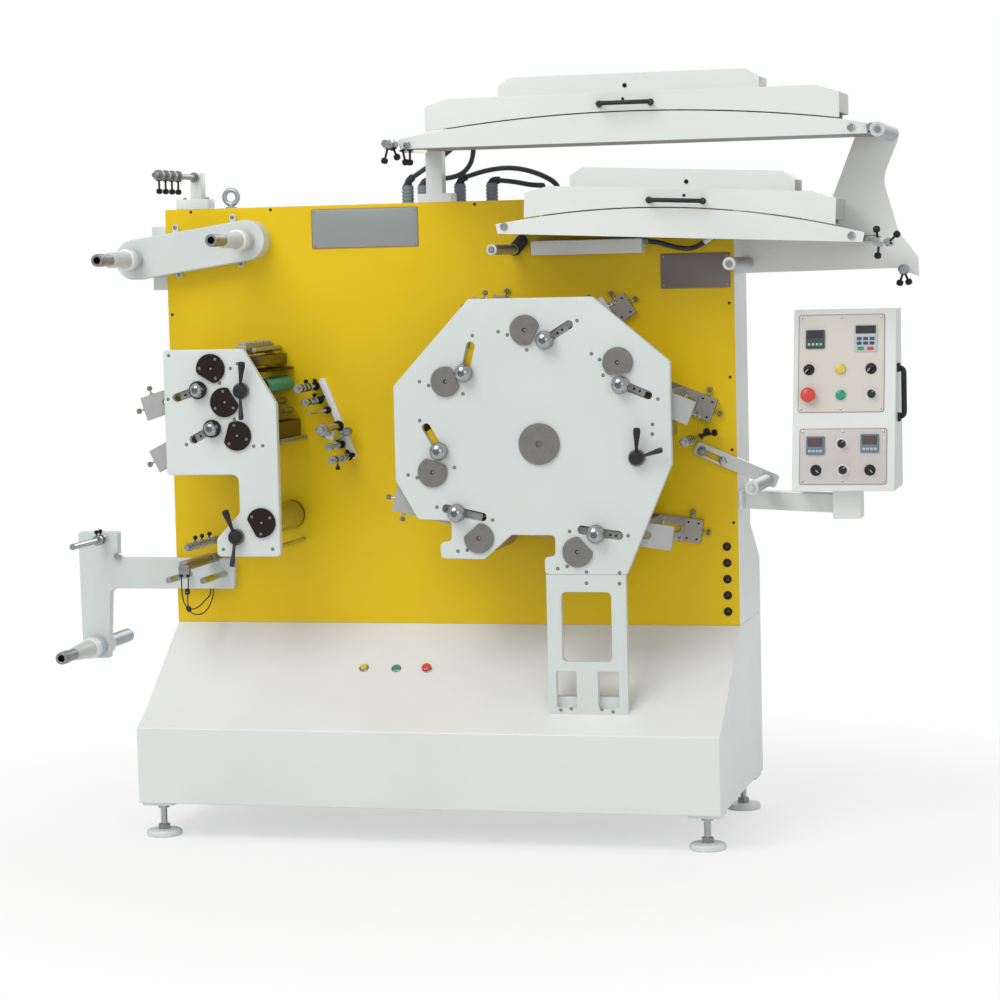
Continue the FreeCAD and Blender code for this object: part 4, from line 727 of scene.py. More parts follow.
def lamp(name, place, target, width, power):
    """A square lamp that faces its target."""
    data = bpy.data.lights.new(name, "AREA")
    data.shape = "SQUARE"
    data.size = width
    data.energy = power
    made = bpy.data.objects.new(name, data)
    bpy.context.scene.collection.objects.link(made)
    way = Vector(target) - Vector(place)
    turn = way.to_track_quat("-Z", "Y").to_matrix().to_4x4()
    made.matrix_world = Matrix.Translation(Vector(place)) @ turn


def floor():
    """A pale floor that keeps the press's shadow and turns as white as the backdrop further off."""
    net = Net("studio floor")
    cloud = net.noise(0.8, 2.0)
    matt = net.tree.nodes.new("ShaderNodeBsdfDiffuse")
    net.feed(matt.inputs["Color"], net.blend(cloud, srgb(243, 243, 243), srgb(247, 247, 247)))
    glow = net.tree.nodes.new("ShaderNodeEmission")
    glow.inputs["Color"].default_value = (1, 1, 1, 1)
    mixed = net.tree.nodes.new("ShaderNodeMixShader")
    reach = net.node("VectorMath", {"operation": "LENGTH"}, [net.place()], out="Value")
    whiter = reach.above(FLOOR_NEAR, FLOOR_FAR) * (1.0 - FLOOR_GLOW) + FLOOR_GLOW
    net.feed(mixed.inputs[0], seen_directly(net) * whiter)
    net.tree.links.new(matt.outputs[0], mixed.inputs[1])
    net.tree.links.new(glow.outputs[0], mixed.inputs[2])
    end = net.tree.nodes.new("ShaderNodeOutputMaterial")
    net.tree.links.new(mixed.outputs[0], end.inputs[0])
    data = bpy.data.meshes.new("floor")
    corners = [(x * FLOOR_HALF, y * FLOOR_HALF, 0) for x, y in ((-1, -1), (1, -1), (1, 1), (-1, 1))]
    data.from_pydata(corners, [], [(0, 1, 2, 3)])
    data.materials.append(net.owner)
    made = bpy.data.objects.new("floor", data)
    bpy.context.scene.collection.objects.link(made)


# Hoses and cords

# Control points of each smooth line in mm
HOSE_ROUTES = {"upper_hose_1": [(709, 465, 1823), (745, 463, 1845), (780, 456, 1866), (812, 444, 1885),
                                (838, 424, 1900), (850, 396, 1911), (853, 368, 1913)],
               "upper_hose_2": [(758, 465, 1812), (796, 456, 1815), (834, 443, 1818), (866, 436, 1830),
                                (888, 430, 1855), (898, 422, 1885), (903, 400, 1908), (905, 368, 1914)],
               "lower_hose_1": [(865, 465, 1819), (903, 462, 1830), (948, 454, 1838), (993, 446, 1840),
                                (1037, 437, 1834), (1078, 422, 1822), (1112, 402, 1808), (1139, 378, 1794),
                                (1156, 357, 1775), (1163, 346, 1753), (1163, 346, 1733)],
               "lower_hose_2": [(960, 465, 1806), (988, 463, 1803), (1018, 457, 1798), (1050, 446, 1791),
                                (1080, 428, 1788), (1100, 402, 1787), (1106, 375, 1784), (1110, 356, 1771),
                                (1112, 346, 1751), (1112, 346, 1731)],
               "heater_hose": [(1412, 322, 1624), (1438, 322, 1621), (1466, 322, 1612), (1496, 322, 1604),
                               (1524, 322, 1601), (1546, 322, 1606), (1565, 322, 1618)]}
CORD_ROUTES = {
    "sensor_cord_1": [(114, 88, 727), (114, 88, 704), (113, 91, 682), (111, 102, 660), (109, 122, 642),
                      (108, 150, 629), (108, 182, 622), (108, 214, 621), (108, 246, 624), (107, 277, 630),
                      (106, 302, 635), (106, 324, 639), (106, 339, 646), (106, 346, 655), (106, 346, 662)],
    "sensor_cord_2": [(134, 88, 727), (134, 88, 704), (130, 92, 682), (125, 102, 660), (119, 118, 640),
                      (115, 142, 622), (115, 170, 610), (117, 200, 604), (119, 230, 603), (120, 260, 607),
                      (120, 288, 616), (118, 314, 628), (116, 334, 640), (114, 346, 652), (114, 346, 662)],
}
HOSE_R = 7.5
HOSE_PITCH = 5.2
HOSE_RIB = 0.7
CORD_R = 1.8


def route_curve(name, route):
    """One smooth NURBS line with the route's points as its control points."""
    curve = bpy.data.curves.new(name, "CURVE")
    curve.dimensions = "3D"
    curve.resolution_u = 12
    line = curve.splines.new("NURBS")
    line.points.add(len(route) - 1)
    for point, place in zip(line.points, route):
        point.co = (*at(*place), 1.0)
    line.order_u = 3
    line.use_endpoint_u = True
    return curve


def read_line(curve):
    """Points along a curve, as its own mesh gives them."""
    holder = bpy.data.objects.new("line", curve)
    bpy.context.scene.collection.objects.link(holder)
    bpy.context.view_layer.update()
    mesh = bpy.data.meshes.new_from_object(holder.evaluated_get(bpy.context.evaluated_depsgraph_get()))
    points = [v.co.copy() for v in mesh.vertices]
    bpy.data.objects.remove(holder)
    bpy.data.meshes.remove(mesh)
    return points


def corrugated_tree():
    """A tube along a curve whose wall swells and narrows evenly."""
    weave = Weave("corrugated tube", [("Radius", "Float"), ("Pitch", "Float"), ("Depth", "Float"),
                                      ("Finish", "Material")])
    step = weave.node("ShaderNodeMath", {"operation": "DIVIDE"}, {0: weave.given("Pitch"), 1: 6.0})
    line = weave.node("GeometryNodeResampleCurve", {"mode": "LENGTH"}, {
        "Curve": weave.given("Geometry"), "Length": step})
    run = weave.node("GeometryNodeSplineParameter", out="Length")
    turns = weave.node("ShaderNodeMath", {"operation": "DIVIDE"}, {0: run, 1: weave.given("Pitch")})
    angle = weave.node("ShaderNodeMath", {"operation": "MULTIPLY"}, {0: turns, 1: math.tau})
    wave = weave.node("ShaderNodeMath", {"operation": "SINE"}, {0: angle})
    swell = weave.node("ShaderNodeMath", {"operation": "MULTIPLY"}, {0: wave, 1: weave.given("Depth")})
    reach = weave.node("ShaderNodeMath", {"operation": "ADD"}, {0: swell, 1: weave.given("Radius")})
    wide = weave.node("GeometryNodeSetCurveRadius", None, {"Curve": line, "Radius": 1.0})
    ring = weave.node("GeometryNodeCurvePrimitiveCircle", None, {"Resolution": 14, "Radius": 1.0})
    tube = weave.node("GeometryNodeCurveToMesh", None, {
        "Curve": wide, "Profile Curve": ring, "Scale": reach, "Fill Caps": True})
    return weave.close(tube)


def hoses():
    """Black corrugated hoses, each on its own smooth line."""
    tree = corrugated_tree()
    for name, route in HOSE_ROUTES.items():
        curve = route_curve(name + "_route", route)
        path = read_line(curve)
        wall = {"Radius": (HOSE_R - HOSE_RIB) * MM, "Pitch": HOSE_PITCH * MM, "Depth": HOSE_RIB * MM}
        made = run_tree(name + "_tube", curve, tree, {**wall, "Finish": HOSE}, "frame")
        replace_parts(made, name)
        tuple(at(*route[0]))


def sensor_cords():
    """The two thin cords from the sensor head to the bracket."""
    for name, route in CORD_ROUTES.items():
        curve = route_curve(name + "_line", route)
        curve.bevel_depth = CORD_R * MM
        curve.bevel_resolution = 3
        curve.use_fill_caps = True
        curve.materials.append(CORD)
        made = settled(bpy.data.objects.new(name + "_line", curve), "frame")
        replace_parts(made, name)
        tuple(at(*route[0]))


def toggles():
    """The two small barrels clipped on the cords."""
    form = Form()
    for a, b in (((128.2, 94, 690), (126.8, 97.5, 674)), ((111.5, 140, 632), (111.5, 152, 622))):
        a, b = at(*a), at(*b)
        length = (b - a).length / MM
        form.turned(a, b - a, [(0, 0), (4.4, 0), (6.6, 1.4), (7.4, 3.4), (7.4, length - 3.4),
                               (6.6, length - 1.4), (4.4, length), (0, length)], BLACK, 20)
        middle = (a + b) / 2
        form.turned(middle, OUT, [(0, 6.0), (2.4, 6.0), (2.6, 7.2), (1.6, 7.45), (0, 7.45)],
                    GREY_PLASTIC, 12)
    made = form.piece("cord_toggle_barrels")
    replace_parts(made, "cord_toggles")


# Cabinets, plates and arms

def cabinets():
    """The two cabinets, the yellow front panel and the heater's box."""
    # The base's upward faces take the lighter copy of the white enamel: painted light.
    softened("base_cabinet", 3.0, lambda spot, normal: PALE_WHITE_AND_PAINTED_LIGHT if normal.z > 0.3 else WHITE,
             segments=3)
    softened("body_cabinet", 2.0, WHITE)
    softened("front_panel", 1.2,
             lambda spot, normal: YELLOW if normal.y < -0.5 or spot.y < PANEL_FRONT + 2 else PALE_WHITE_AND_PAINTED_LIGHT)
    # The heater box's white faces take the lighter copy of the white enamel: painted light.
    softened("heater_box", 2.5, lambda spot, normal: GREY_PLASTIC if spot.x > 1397 else PALE_WHITE_AND_PAINTED_LIGHT)


def side_plates():
    """The side plates, and the brackets, arms and posts that carry rollers and the control box."""
    for node, width in (("impression_side_plate", 0.7), ("two_colour_side_plate", 0.7),
                        ("support_stand", 0.7), ("unwind_arm", 0.9), ("rewind_bracket", 0.9)):
        softened(node, width, PLATE_WHITE)
    # The hood bracket's white part takes the lighter copy of the white enamel: painted light.
    softened("hood_bracket", 1.0, lambda spot, normal: STEEL if spot.y < 357 else PALE_WHITE_AND_PAINTED_LIGHT)
    softened("hood_post", 1.5, WHITE)
    softened("swing_bracket", 1.0, SATIN_ALUMINIUM)
    softened("control_arm", 2.5, WHITE)
    softened("lower_roller_arm", 1.0, lambda spot, normal: STEEL if spot.y < 347 else BLACK)


def hoods():
    """Both dryers: white covers and beds, their undersides in painted shade and painted reflection of the
    yellow panel, their right ends in painted shade.
    """
    def dress(spot, normal):
        if spot.y > PANEL_FRONT + 1:
            return GREY_PLASTIC
        # Downward faces get painted shade and a painted reflection of the yellow panel; right-facing ends
        # get painted shade.
        if normal.z < -0.7:
            return UNDERSIDE_SHADE_AND_REFLECTION
        return END_GREY if normal.x > 0.6 else WHITE

    for node, body in (("upper_dryer_bed", "frame"), ("lower_dryer_bed", "frame"),
                       ("upper_dryer_lid", "upper_dryer_lid"), ("lower_dryer_lid", "lower_dryer_lid")):
        drop = None if body == "frame" else (lambda spot: spot.y < LID_FRONT - 0.5)
        softened(node, 1.0, dress, body, drop=drop)


# Print units

HUB = (1150.0, 1088.0)
CAP_R = 41.0
CAP_FLAT = 30.0
HUB_CAP_R = 56.0
PITCH_R = 308.0
ROLLER_FRONT = 122.0
ROLLER_BACK = 340.0
ROLLER_TIP = 85.0
ROLLER_TAIL = 370.0
# Each carriage's knob, the turn of its slide, how far beside the knob it runs, its front and rear
# reach, and the side of its second thumb screw
CARRIAGES = [
    (1173.3, 1366.3, 32.0, -17.0, 190.0, 200.0, 1), (1377.7, 1244.9, -22.0, -6.0, 201.0, 220.0, 1),
    (946.8, 1281.9, 76.0, -2.0, 203.0, 205.0, 1), (872.1, 1070.5, 120.0, 3.0, 194.0, 194.0, 1),
    (917.4, 902.6, 167.0, 5.0, 187.0, 187.0, 1), (1302.3, 845.4, -8.0, 13.0, 203.0, 239.0, 1),
    (188.0, 1245.0, 197.2, 0.0, 181.0, 181.0, -1), (226.0, 1138.0, 206.6, 0.0, 207.0, 207.0, 0),
]
# The plate cylinders' places round the drum, in degrees
STATION_ANGLES = (96.1, 44.5, 146.3, 194.0, 235.7, 288.8)
CENTRES = [(HUB[0] + PITCH_R * math.cos(math.radians(a)), HUB[1] + PITCH_R * math.sin(math.radians(a)))
           for a in STATION_ANGLES]
TWO_CENTRES = [(223.0, 1303.0), (261.0, 1210.0), (294.0, 1117.0)]
DRAW_CENTRE = (357.0, 876.0)
# Each cross lever's hub and the tips of its two grips, in x and z
LEVERS = {
    "impression_lever": ((1417, 1049), (1424, 1130), (1491, 1072)),
    "two_colour_lever": ((311, 1241), (325, 1321), (318, 1163)),
    "draw_roller_lever": ((284, 837), (262, 913), (278, 757)),
}
LOCAL_HALF = 33.0
CAP_H = 8.0
SCREW_RING_R = 30.5
HUB_SCREW_R = 43.0
KNOB_FOOT = 76.0
LEVER_FOOT = 79.0
GRIP_ROOT_Y = 66.0
GRIP_TIP_Y = 48.0
FRONT_PLATE_BACK = 112.5
REAR_PLATE_FRONT = 339.5
THUMB_FRONT_Y = 108.0
THUMB_REAR_Y = 350.0


def across(x, z, y, profile, finish, form, sides=28, flat=None):
    """A form turned about an axis along y, from y towards the front."""
    form.turned(at(x, y, z), OUT, profile, finish, sides, flat)


def toward(a, b):
    """The direction in the x-z plane from one place to another."""
    return Vector((b[0] - a[0], 0, b[1] - a[1])).normalized()


def caps():
    """Turned bearing caps with a flat beside each knob, three small screws and a deep centre."""
    knobs = [carriage[:2] for carriage in CARRIAGES]
    grey = list(zip(CENTRES, knobs[:6]))
    dark = [(TWO_CENTRES[0], knobs[6]), (TWO_CENTRES[1], LEVERS["two_colour_lever"][0]),
            (TWO_CENTRES[2], knobs[7]), (DRAW_CENTRE, LEVERS["draw_roller_lever"][0])]
    form = Form()
    screws = []
    for group, finish in ((grey, CAP_STEEL), (dark, CAP_DARK)):
        for (x, z), near in group:
            way = toward((x, z), near)
            across(x, z, PLATE_FRONT, [(0, 0), (CAP_R, 0), (CAP_R, CAP_H - 1.4), (CAP_R - 1.4, CAP_H),
                                       (6.2, CAP_H), (5.6, CAP_H - 0.8), (5.6, 2)],
                   finish, form, 56, (way, CAP_FLAT))
            across(x, z, PLATE_FRONT, [(0, 1), (5.6, 1), (5.6, 1.2), (3.4, 3.4), (2.6, 3.4), (2.2, 1.4),
                                       (0, 1.4)], CHROME, form, 16)
            start = math.atan2(way.z, way.x)
            for turn in (math.radians(62), math.radians(180), math.radians(298)):
                a = start + turn
                spot = at(x + SCREW_RING_R * math.cos(a), PLATE_FRONT - CAP_H,
                          z + SCREW_RING_R * math.sin(a))
                screws.append((spot, OUT, 0.72))
    x, z = HUB
    across(x, z, PLATE_FRONT, [(0, 0), (HUB_CAP_R, 0), (HUB_CAP_R, 6.6), (HUB_CAP_R - 1.4, 8), (9.4, 8),
                               (8.6, 7.2), (8.6, 2), (0, 2)], CAP_STEEL, form, 72)
    for i in range(6):
        a = math.radians(30 + 60 * i)
        spot = at(x + HUB_SCREW_R * math.cos(a), PLATE_FRONT - CAP_H, z + HUB_SCREW_R * math.sin(a))
        screws.append((spot, OUT, 0.8))
    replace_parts(form.piece("turned_caps"), "bearing_caps")
    heads("cap_screws", screws, SMALL_SOCKET, CAP_SCREW)


def knobs():
    """Chrome domed knobs with a grey middle, each on a knurled collar over a plain washer."""
    form = Form()
    for x, z, *rest in CARRIAGES:
        across(x, z, PLATE_BACK, [(0, 0), (7, 0), (7, 24)], STEEL, form, 20)
        across(x, z, PLATE_FRONT, [(7, 0.2), (19, 0.2), (19.4, 0.8), (19.4, 3.2), (18.6, 4), (17, 4)],
               STEEL, form, 36)
        across(x, z, KNOB_FOOT, [(7, 0), (22.6, 0), (23.2, 0.6), (23.2, 4.4), (22.4, 5.2), (19, 5.2)],
               CHROME, form, 44)
        is_dark = x < 400
        wide = 20.4 if is_dark else 23.4
        across(x, z, KNOB_FOOT, [(19, 5.2), (24.2, 5.2), (25, 6), (25, 13), (24.2, 14), (20, 14)],
               BLACK_KNURL if is_dark else STEEL_KNURL, form, 48)
        across(x, z, KNOB_FOOT, [(wide, 13.6), (wide, 16.4), (wide - 0.6, 20), (wide - 2, 24.4),
                                 (wide - 4.4, 28.2), (13.2, 31.6), (9.8, 33.8), (9.2, 34)],
               CHROME, form, 48)
        across(x, z, KNOB_FOOT, [(9.2, 34), (8.6, 33.2), (8, 33.4), (5.4, 34.6), (2.6, 35), (0, 35)],
               KNOB_CENTRE, form, 28)
    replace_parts(form.piece("domed_knobs"), "locking_knobs")


def lever(name):
    """A cross lever: black hub on a grey disc, with a tapered black grip and a slimmer lower one."""
    hub, first, second = LEVERS[name]
    x, z = hub
    form = Form()
    across(x, z, 98, [(0, 0), (9, 0), (9, 20)], STEEL, form, 20)
    across(x, z, LEVER_FOOT, [(0, 0), (22.4, 0), (23, 0.6), (23, 8), (22, 9), (17, 9), (16, 11)],
           CAP_STEEL, form, 40)
    across(x, z, LEVER_FOOT, [(0, 8), (17.4, 8), (18.4, 9.5), (18.4, 21), (16.6, 24), (12, 25.6), (0, 26)],
           BLACK, form, 40)
    for tip, root_r, tip_r, finish in ((first, 4.6, 9.6, BLACK), (second, 4.0, 7.4, BLUE_BLACK)):
        start = at(x, GRIP_ROOT_Y, z)
        end = at(tip[0], GRIP_TIP_Y, tip[1])
        length = (end - start).length / MM
        form.turned(start, end - start, [(0, 8), (root_r, 8), (root_r, length * 0.34),
                                         (tip_r * 0.78, length * 0.66), (tip_r, length * 0.82),
                                         (tip_r, length - 3), (tip_r - 1, length - 1), (tip_r - 3, length),
                                         (0, length)], finish, 20)
    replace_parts(form.piece(name + "_grips", name), name)


def print_roller(name, centre, radius, journal, finish, rim):
    """A roller with its journals, and a rim of another finish at each end of its skin."""
    form = Form()
    x, z = centre
    long = ROLLER_TAIL - ROLLER_TIP
    back = ROLLER_TAIL - ROLLER_BACK
    front = ROLLER_TAIL - ROLLER_FRONT
    across(x, z, ROLLER_TAIL, [(0, 0), (journal, 0), (journal, back), (radius - 1, back),
                               (radius, back + 1)], STEEL, form, 48)
    across(x, z, ROLLER_TAIL, [(radius, back + 1), (radius, back + 9), (radius - 1.2, back + 10),
                               (radius - 1.2, back + 12), (radius - 0.2, back + 13)], rim, form, 64)
    across(x, z, ROLLER_TAIL, [(radius - 0.2, back + 13), (radius - 0.2, front - 13)], finish, form, 64)
    across(x, z, ROLLER_TAIL, [(radius - 0.2, front - 13), (radius - 1.2, front - 12),
                               (radius - 1.2, front - 10), (radius, front - 9), (radius, front - 1),
                               (radius - 1, front)], rim, form, 64)
    across(x, z, ROLLER_TAIL, [(radius - 1, front), (journal + 6, front), (journal, front + 0.2),
                               (journal, long - 1), (journal - 1, long), (0, long)], STEEL, form, 48)
    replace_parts(form.piece(name + "_turned", name), name)


def print_rollers():
    """The impression drum, the plate cylinders, the two-colour unit's rollers and the draw roller."""
    print_roller("impression_drum", HUB, 254.0, 30.0, POLISHED, STEEL)
    for i, centre in enumerate(CENTRES):
        print_roller("plate_cylinder_%d" % (i + 1), centre, 48.0, 12.0, PLATE_RUBBER, STEEL)
    for i, centre in enumerate(TWO_CENTRES):
        print_roller("two_colour_roller_%d" % (i + 1), centre, 46.0, 12.0, POLISHED, STEEL)
    print_roller("draw_roller", DRAW_CENTRE, 42.0, 12.0, CHROME, CAP_DARK)


def thumb_screw(form, foot, way, scale=1.0, head=CHROME, knurl=STEEL_KNURL, stem_l=12.0):
    """A knurled thumb screw on a thin stem over a washer."""
    up = [(0, 0), (7.4, 0), (7.4, 1.6), (6.4, 2.4), (4.2, 2.8), (2.6, 3.2), (2.6, stem_l)]
    form.turned(foot, way, [(r * scale, h * scale) for r, h in up], head, 18)
    side = [(2.6, stem_l), (5.0, stem_l), (7.2, stem_l + 2.2), (7.5, stem_l + 3.4), (7.5, stem_l + 8.6),
            (7.0, stem_l + 10.0)]
    form.turned(foot, way, [(r * scale, h * scale) for r, h in side], knurl, 26)
    top = [(7.0, stem_l + 10.0), (5.4, stem_l + 11.6), (3.0, stem_l + 12.6), (0, stem_l + 13.0)]
    form.turned(foot, way, [(r * scale, h * scale) for r, h in top], head, 22)


def local(carriage, spot):
    """A spot in a carriage's own frame: along its slide and across it."""
    turn = math.radians(carriage[2])
    dx, dz = spot.x - carriage[0], spot.z - carriage[1]
    return (dx * math.cos(turn) + dz * math.sin(turn), dz * math.cos(turn) - dx * math.sin(turn))


def from_local(carriage, u, v):
    """The x and z of a spot that is u along a carriage's slide and v across it."""
    turn = math.radians(carriage[2])
    return (carriage[0] + u * math.cos(turn) - v * math.sin(turn),
            carriage[1] + u * math.sin(turn) + v * math.cos(turn))


def nearest(carriages, spot):
    """The carriage that a face belongs to."""
    def miss(carriage):
        u, v = local(carriage, spot)
        v -= carriage[3]
        return max(0.0, -u - 60, u - carriage[5] - 30) + max(0.0, abs(v) - 60)
    return min(carriages, key=miss)


def carriages():
    """Ink carriages: bright front plates, duller rear ones, their thumb screws and small dark screws."""
    def is_thumb(spot):
        carriage = nearest(CARRIAGES[:6], spot)
        u, v = local(carriage, spot)
        reach = carriage[4] if spot.y < 130 else carriage[5]
        is_past = u > reach + 0.5 or abs(v - carriage[3]) > LOCAL_HALF + 0.5
        return is_past and (spot.y < 130 or spot.y > 330)

    def dress(spot, normal):
        if spot.y < FRONT_PLATE_BACK:
            return FACE_ALUMINIUM if normal.y < -0.5 else ALUMINIUM
        if spot.y > REAR_PLATE_FRONT:
            return REAR_ALUMINIUM
        carriage = nearest(CARRIAGES[:6], spot)
        u, v = local(carriage, spot)
        return CAP_DARK if abs(v) < 27 and u < 60 else ALUMINIUM

    softened("ink_units", 0.8, dress, drop=is_thumb)
    form = Form()
    dots = []
    blocks = []
    for carriage in CARRIAGES:
        turn, shift, front, rear, side = carriage[2:]
        slide = Vector((math.cos(math.radians(turn)), 0, math.sin(math.radians(turn))))
        cross = Vector((-slide.z, 0, slide.x))
        for reach, y in ((front, THUMB_FRONT_Y), (rear, THUMB_REAR_Y)):
            u, w = from_local(carriage, reach, shift)
            thumb_screw(form, at(u, y, w), slide)
            if side:
                u, w = from_local(carriage, reach - 32, shift + side * LOCAL_HALF)
                thumb_screw(form, at(u, y, w), cross * side)
        is_bare = carriage in CARRIAGES[2:4]
        if not is_bare:
            for u in (34, 50):
                dots.append((at(*spot_on(carriage, u, 0, PLATE_BACK - 2)), OUT, 0.6))
        near, far = (at(*spot_on(carriage, u, 0, PLATE_BACK)) for u in (-66, 66))
        along = (far - near).normalized()
        wide = Vector((-along.z, 0, along.x)) * (10.5 * MM)
        strip = [near + wide, near - wide, far - wide, far + wide]
        form.slab([(p.x / MM + ORIGIN_X, p.z / MM) for p in strip], PLATE_BACK - 2, PLATE_BACK + 2,
                  YELLOW if is_bare else FACE_ALUMINIUM, 0.3)
        for u in (rear - 40, rear - 12):
            for v in (shift - 22, shift + 22):
                blocks.append((at(*spot_on(carriage, u, v, 340)), OUT, 0.55))
    form.piece("carriage_thumbs")
    heads("carriage_dots", dots + blocks, DOT_HEAD, BLACKENED)


def spot_on(carriage, u, v, y):
    """The same as a whole place, at a depth y."""
    x, z = from_local(carriage, u, v)
    return (x, y, z)


def two_colour_carriages():
    """The two-colour unit's carriages, rubber roller, trays, ribbed bars and scraper pins."""
    group = CARRIAGES[6:]

    def gone(spot):
        if spot.x > 270:
            return not (315 < spot.x < 392 and (1305 < spot.z < 1335 or 1099 < spot.z < 1149))
        carriage = nearest(group, spot)
        u, v = local(carriage, spot)
        return (spot.y < 130 or spot.y > 330) and (u > carriage[4] + 0.5 or abs(v) > LOCAL_HALF + 0.5)

    def dress(spot, normal):
        if spot.x > 270:
            return BRASS if normal.z < 0.5 else BLACKENED
        if spot.y < FRONT_PLATE_BACK:
            return FACE_ALUMINIUM if normal.y < -0.5 else ALUMINIUM
        return REAR_ALUMINIUM

    softened("two_colour_ink_units", 0.7, dress, drop=gone)
    form = Form()
    across(356, 1251, PANEL_FRONT, [(0, 0), (8, 0), (8, 18), (20, 18), (21, 19)], STEEL, form, 24)
    across(356, 1251, PANEL_FRONT, [(21, 19), (21, 235)], GREEN_RUBBER, form, 44)
    across(356, 1251, PANEL_FRONT, [(21, 235), (21.4, 235), (21.4, 244), (19.6, 245), (12, 245), (8, 246),
                                    (8, 257), (0, 258)], BLACKENED, form, 40)
    for x, z in ((334, 1350), (403, 1096)):
        ribs = [(0, 0)]
        for i in range(22):
            h = 6 + i * 10.2
            ribs += [(6.2, h), (7.0, h + 1.5), (7.0, h + 5), (6.2, h + 6.5)]
        ribs += [(6.2, 232), (0, 233)]
        across(x, z, PANEL_FRONT, ribs, ROLLER_GREY, form, 18)
    form.block((284, 125, 1338), (312, 358, 1364), REAR_ALUMINIUM, 1.2)
    for i in range(11):
        y = 132 + i * 20.6
        form.block((286, y, 1362), (310, y + 10, 1371.5), REAR_ALUMINIUM, 1.0)
    for x, z in ((343, 1200), (362, 1174)):
        across(x, z, PANEL_FRONT, [(0, 0), (7, 0), (7, 50), (6, 52), (6, 58), (7, 60), (7, 73), (6, 75),
                                   (0, 75)], REAR_ALUMINIUM, form, 20)
    form.slab([(300, 1290), (372, 1290), (372, 1296), (300, 1296)], 128, 356, BLACKENED, 0.5)
    form.piece("two_colour_fittings")


def stays():
    """Turned stays with collars between the side plates and the panel."""
    form = Form()
    places = [(1055.3, 1387.3), (1308.7, 1319.9), (831.8, 1254.9), (791.1, 1003.5), (926.4, 798.6),
              (1205.3, 753.4), (101, 1338), (290, 1309), (354, 1088), (243, 803), (387, 803)]
    for x, z in places:
        across(x, z, PANEL_FRONT, [(0, 0), (7.5, 0), (7.5, 3), (7.5, 8), (6.8, 9), (6.8, 249), (7.5, 250),
                                   (7.5, 258), (0, 258)], POLISHED, form, 20)
    form.block((1438, 100, 1094), (1475, 358, 1133), ALUMINIUM, 1.5)
    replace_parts(form.piece("turned_stays"), "stay_bars")


# Reels and guide rollers

def spindle(name, x, z, seat, tail=None):
    """A reel spindle: two pale rings, a sleeve that tapers where there is a tail, and a bored nose."""
    form = Form()
    if tail:
        back = tail - seat
        across(x, z, tail, [(0, 0), (19, 0), (20, 1), (20, tail - 393), (14, tail - 393), (14, back - 5)],
               ROLLER_GREY, form, 32)
    else:
        across(x, z, seat + 40, [(0, 0), (14, 0), (14, 36)], STEEL, form, 28)
    across(x, z, seat, [(14, 5), (25.4, 5), (26, 5.6), (26, 9), (24, 10)], BLACKENED, form, 40)
    across(x, z, seat, [(24, 10), (27.4, 10.4), (28, 11), (28, 38), (27, 39), (24, 40), (24, 46)],
           SHAFT_BLUE, form, 40)
    across(x, z, seat, [(24, 46), (29.4, 46.4), (30, 47), (30, 74), (29, 75), (25, 76)],
           PALE_WHITE_AND_PAINTED_LIGHT, form, 44)
    sleeve = [(25, 76), (24.4, 104), (21.6, 150), (18.4, 182), (16.4, 190)] if tail else [
        (25, 76), (21.6, 82), (21.6, 184), (19, 189), (16.4, 190)]
    across(x, z, seat, sleeve, PALE_SLEEVE, form, 44)
    across(x, z, seat, [(16.4, 190), (16.4, 236), (15.2, 237), (15.2, 239), (17.4, 241), (18, 243),
                        (18, 258), (17.2, 259), (17.2, 262), (18, 263), (18, 276), (17, 281.6), (15.4, 283),
                        (11.2, 283), (10, 281.8)], STEEL, form, 44)
    # The bore's inside is painted shade.
    across(x, z, seat, [(10, 281.8), (10, 262), (0, 262)], BORE_SHADE, form, 32)
    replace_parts(form.piece(name + "_turned", name), name)


def guide_roller(name, x, z, radius, front, back):
    """A skinned roller with pale end caps on its shaft."""
    form = Form()
    long = back - front
    bore = 8.4
    across(x, z, back, [(bore, 0), (radius - 1.5, 0), (radius, 1.5), (radius, 6), (radius - 0.6, 6.6)],
           PALE_SLEEVE, form, 44)
    across(x, z, back, [(radius - 0.6, 6.6), (radius - 0.6, long - 6.6)], ROLLER_GREY, form, 56)
    across(x, z, back, [(radius - 0.6, long - 6.6), (radius, long - 6), (radius, long - 2),
                        (radius - 2, long), (radius * 0.62, long), (radius * 0.58, long - 1.2),
                        (bore, long - 1.2), (bore, 0)], PALE_SLEEVE, form, 44)
    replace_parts(form.piece(name + "_turned", name), name)
    tip = Form()
    across(x, z, front + 1, [(0, 0), (8, 0), (8, 5.6), (7, 6.8), (3.6, 6.8), (3.2, 3), (0, 3)],
           CHROME, tip, 22)
    tip.piece(name + "_bolt")


def reels_and_rollers():
    """The three reel spindles and the four rollers that guide the web."""
    spindle("left_unwind_spindle", -76, 1608, 298)
    spindle("right_unwind_spindle", 258, 1655, 298)
    spindle("rewind_spindle", -238, 496, 332, 560)
    guide_roller("upper_guide_roller", 2074, 1895, 19.5, 20, 350)
    guide_roller("panel_guide_roller", 1679, 1559, 17, 45, 350)
    guide_roller("lower_guide_roller", 1027, 1611, 14.5, 90, 340)
    guide_roller("swing_roller", 1722, 966, 18.5, 90, 338)


# Guides

